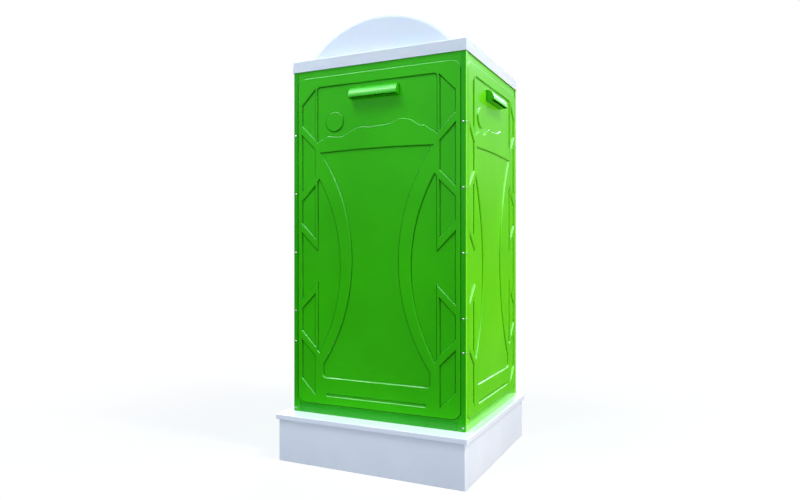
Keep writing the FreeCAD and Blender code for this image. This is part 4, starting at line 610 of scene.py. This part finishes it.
def addScrew(form, spot, way, rise):
    outward = Vector(way)
    seat = Matrix.Translation(Vector(spot) + outward * rise / 2) @ faceWay(outward)
    crown = screwSet["radius"] * screwSet["crown"]
    made = bmesh.ops.create_cone(form, cap_ends=True, segments=screwSet["sides"],
                                 radius1=screwSet["radius"], radius2=crown, depth=rise, matrix=seat)
    faces = {face for vert in made["verts"] for face in vert.link_faces}
    top = max(faces, key=lambda face: face.calc_center_median().dot(outward))
    bmesh.ops.inset_region(form, faces=[top], thickness=crown - screwSet["socket"])
    well = bmesh.ops.extrude_discrete_faces(form, faces=[top])["faces"][0]
    deep = min(screwSet["socketDeep"], rise * screwSet["socketShare"])
    bmesh.ops.translate(form, verts=well.verts, vec=-outward * deep)


def makePiece(name, form, material, bodyName):
    bmesh.ops.recalc_face_normals(form, faces=form.faces)
    mesh = bpy.data.meshes.new(name)
    form.to_mesh(mesh)
    form.free()
    mesh.materials.append(material)
    piece = bpy.data.objects.new(name, mesh)
    bpy.context.scene.collection.objects.link(piece)
    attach(piece, bodyName)


# the spots are worked out from the pieces that the screws hold
fittingSet = {
    "hingeHalf": 0.034,      # outer screws of a hinge leaf from its middle
    "hingeHigh": 0.100,      # height of a hinge leaf
    "leafMiddle": 0.0252,    # screw row from the hinge pin
    "leafFace": 0.003,       # leaf's thickness
    "edge": 0.008,           # from a plate's edge to a screw
    "hookEdge": 0.006,       # lower screw of the coat hook above its foot
    "hookHigh": 0.050,       # and the upper one
    "holderFace": 0.003,     # thickness of the plates of hook and paper bracket
    "clipFace": 0.004,
    "clipHigh": 0.030,       # height of a clip
    "clipAside": 0.021,      # clip's screws from its middle
    "railRivetIn": 0.233,    # rivet on a side rail, from the rail's back end and above the deck
    "railRivetUp": 0.020,
    "rivetRadius": 0.0065,
    "rivetRise": 0.0022,
    "rivetSides": (18, 10),
}


def addRivet(form, spot, way):
    # low domed head, its lower half sunk in the sheet
    radius = fittingSet["rivetRadius"]
    around, up = fittingSet["rivetSides"]
    low = Matrix.Diagonal((radius, radius, fittingSet["rivetRise"], 1.0))
    bmesh.ops.create_uvsphere(form, u_segments=around, v_segments=up, radius=1.0,
                              matrix=Matrix.Translation(spot) @ faceWay(Vector(way)) @ low)


def addFittings():
    edge = fittingSet["edge"]
    pan = screwSet["panRise"]
    cabinForm = bmesh.new()
    doorForm = bmesh.new()
    low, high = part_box("hinge_pins")
    pinX = (low[0] + high[0]) / 2
    leafLow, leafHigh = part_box("hinge_leaves_jamb")
    face = leafHigh[1] - fittingSet["leafFace"]
    half = fittingSet["hingeHigh"] / 2
    rows = [leafLow[2] + half, (leafLow[2] + leafHigh[2]) / 2, leafHigh[2] - half]
    for row in rows:
        for offset in (-fittingSet["hingeHalf"], 0, fittingSet["hingeHalf"]):
            addScrew(cabinForm, (pinX - fittingSet["leafMiddle"], face, row + offset), (0, -1, 0), pan)
            addScrew(doorForm, (pinX + fittingSet["leafMiddle"], face, row + offset), (0, -1, 0), pan)

    low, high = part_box("strike_plate")
    for height in (low[2] + edge, high[2] - edge):
        addScrew(cabinForm, ((low[0] + high[0]) / 2, high[1], height), (0, 1, 0), screwSet["sunkRise"])

    low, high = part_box("paper_bracket")
    for along in (low[1] + 3 * edge, high[1] - 3 * edge):
        addScrew(cabinForm, (high[0] - fittingSet["holderFace"], along, high[2] - edge), (-1, 0, 0), pan)

    low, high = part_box("lock_case")
    for across in (low[0] + edge, high[0] - edge):
        for height in (low[2] + edge, high[2] - edge):
            addScrew(doorForm, (across, high[1], height), (0, 1, 0), screwSet["sunkRise"])

    low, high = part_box("coat_hook")
    for height in (low[2] + fittingSet["hookEdge"], low[2] + fittingSet["hookHigh"]):
        addScrew(doorForm, (0, low[1] + fittingSet["holderFace"], height), (0, 1, 0), pan)

    low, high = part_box("vent_pipe_clips")
    half = fittingSet["clipHigh"] / 2
    for height in (low[2] + half, high[2] - half):
        for aside in (-fittingSet["clipAside"], fittingSet["clipAside"]):
            across = (low[0] + high[0]) / 2 + aside
            addScrew(cabinForm, (across, high[1] - fittingSet["clipFace"], height), (0, -1, 0), pan)

    rivetForm = bmesh.new()
    for rail, corner, way in (("bottom_rail_left", 0, -1), ("bottom_rail_right", 1, 1)):
        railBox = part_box(rail)
        along = railBox[1][1] - fittingSet["railRivetIn"]
        height = railBox[0][2] + fittingSet["railRivetUp"]
        addRivet(rivetForm, (railBox[corner][0], along, height), (way, 0, 0))

    makePiece("railRivets", rivetForm, rivetMetal, "cabin")
    makePiece("cabinScrews", cabinForm, zinc, "cabin")
    makePiece("doorScrews", doorForm, zinc, "door")


addFittings()
print("fittings ready")
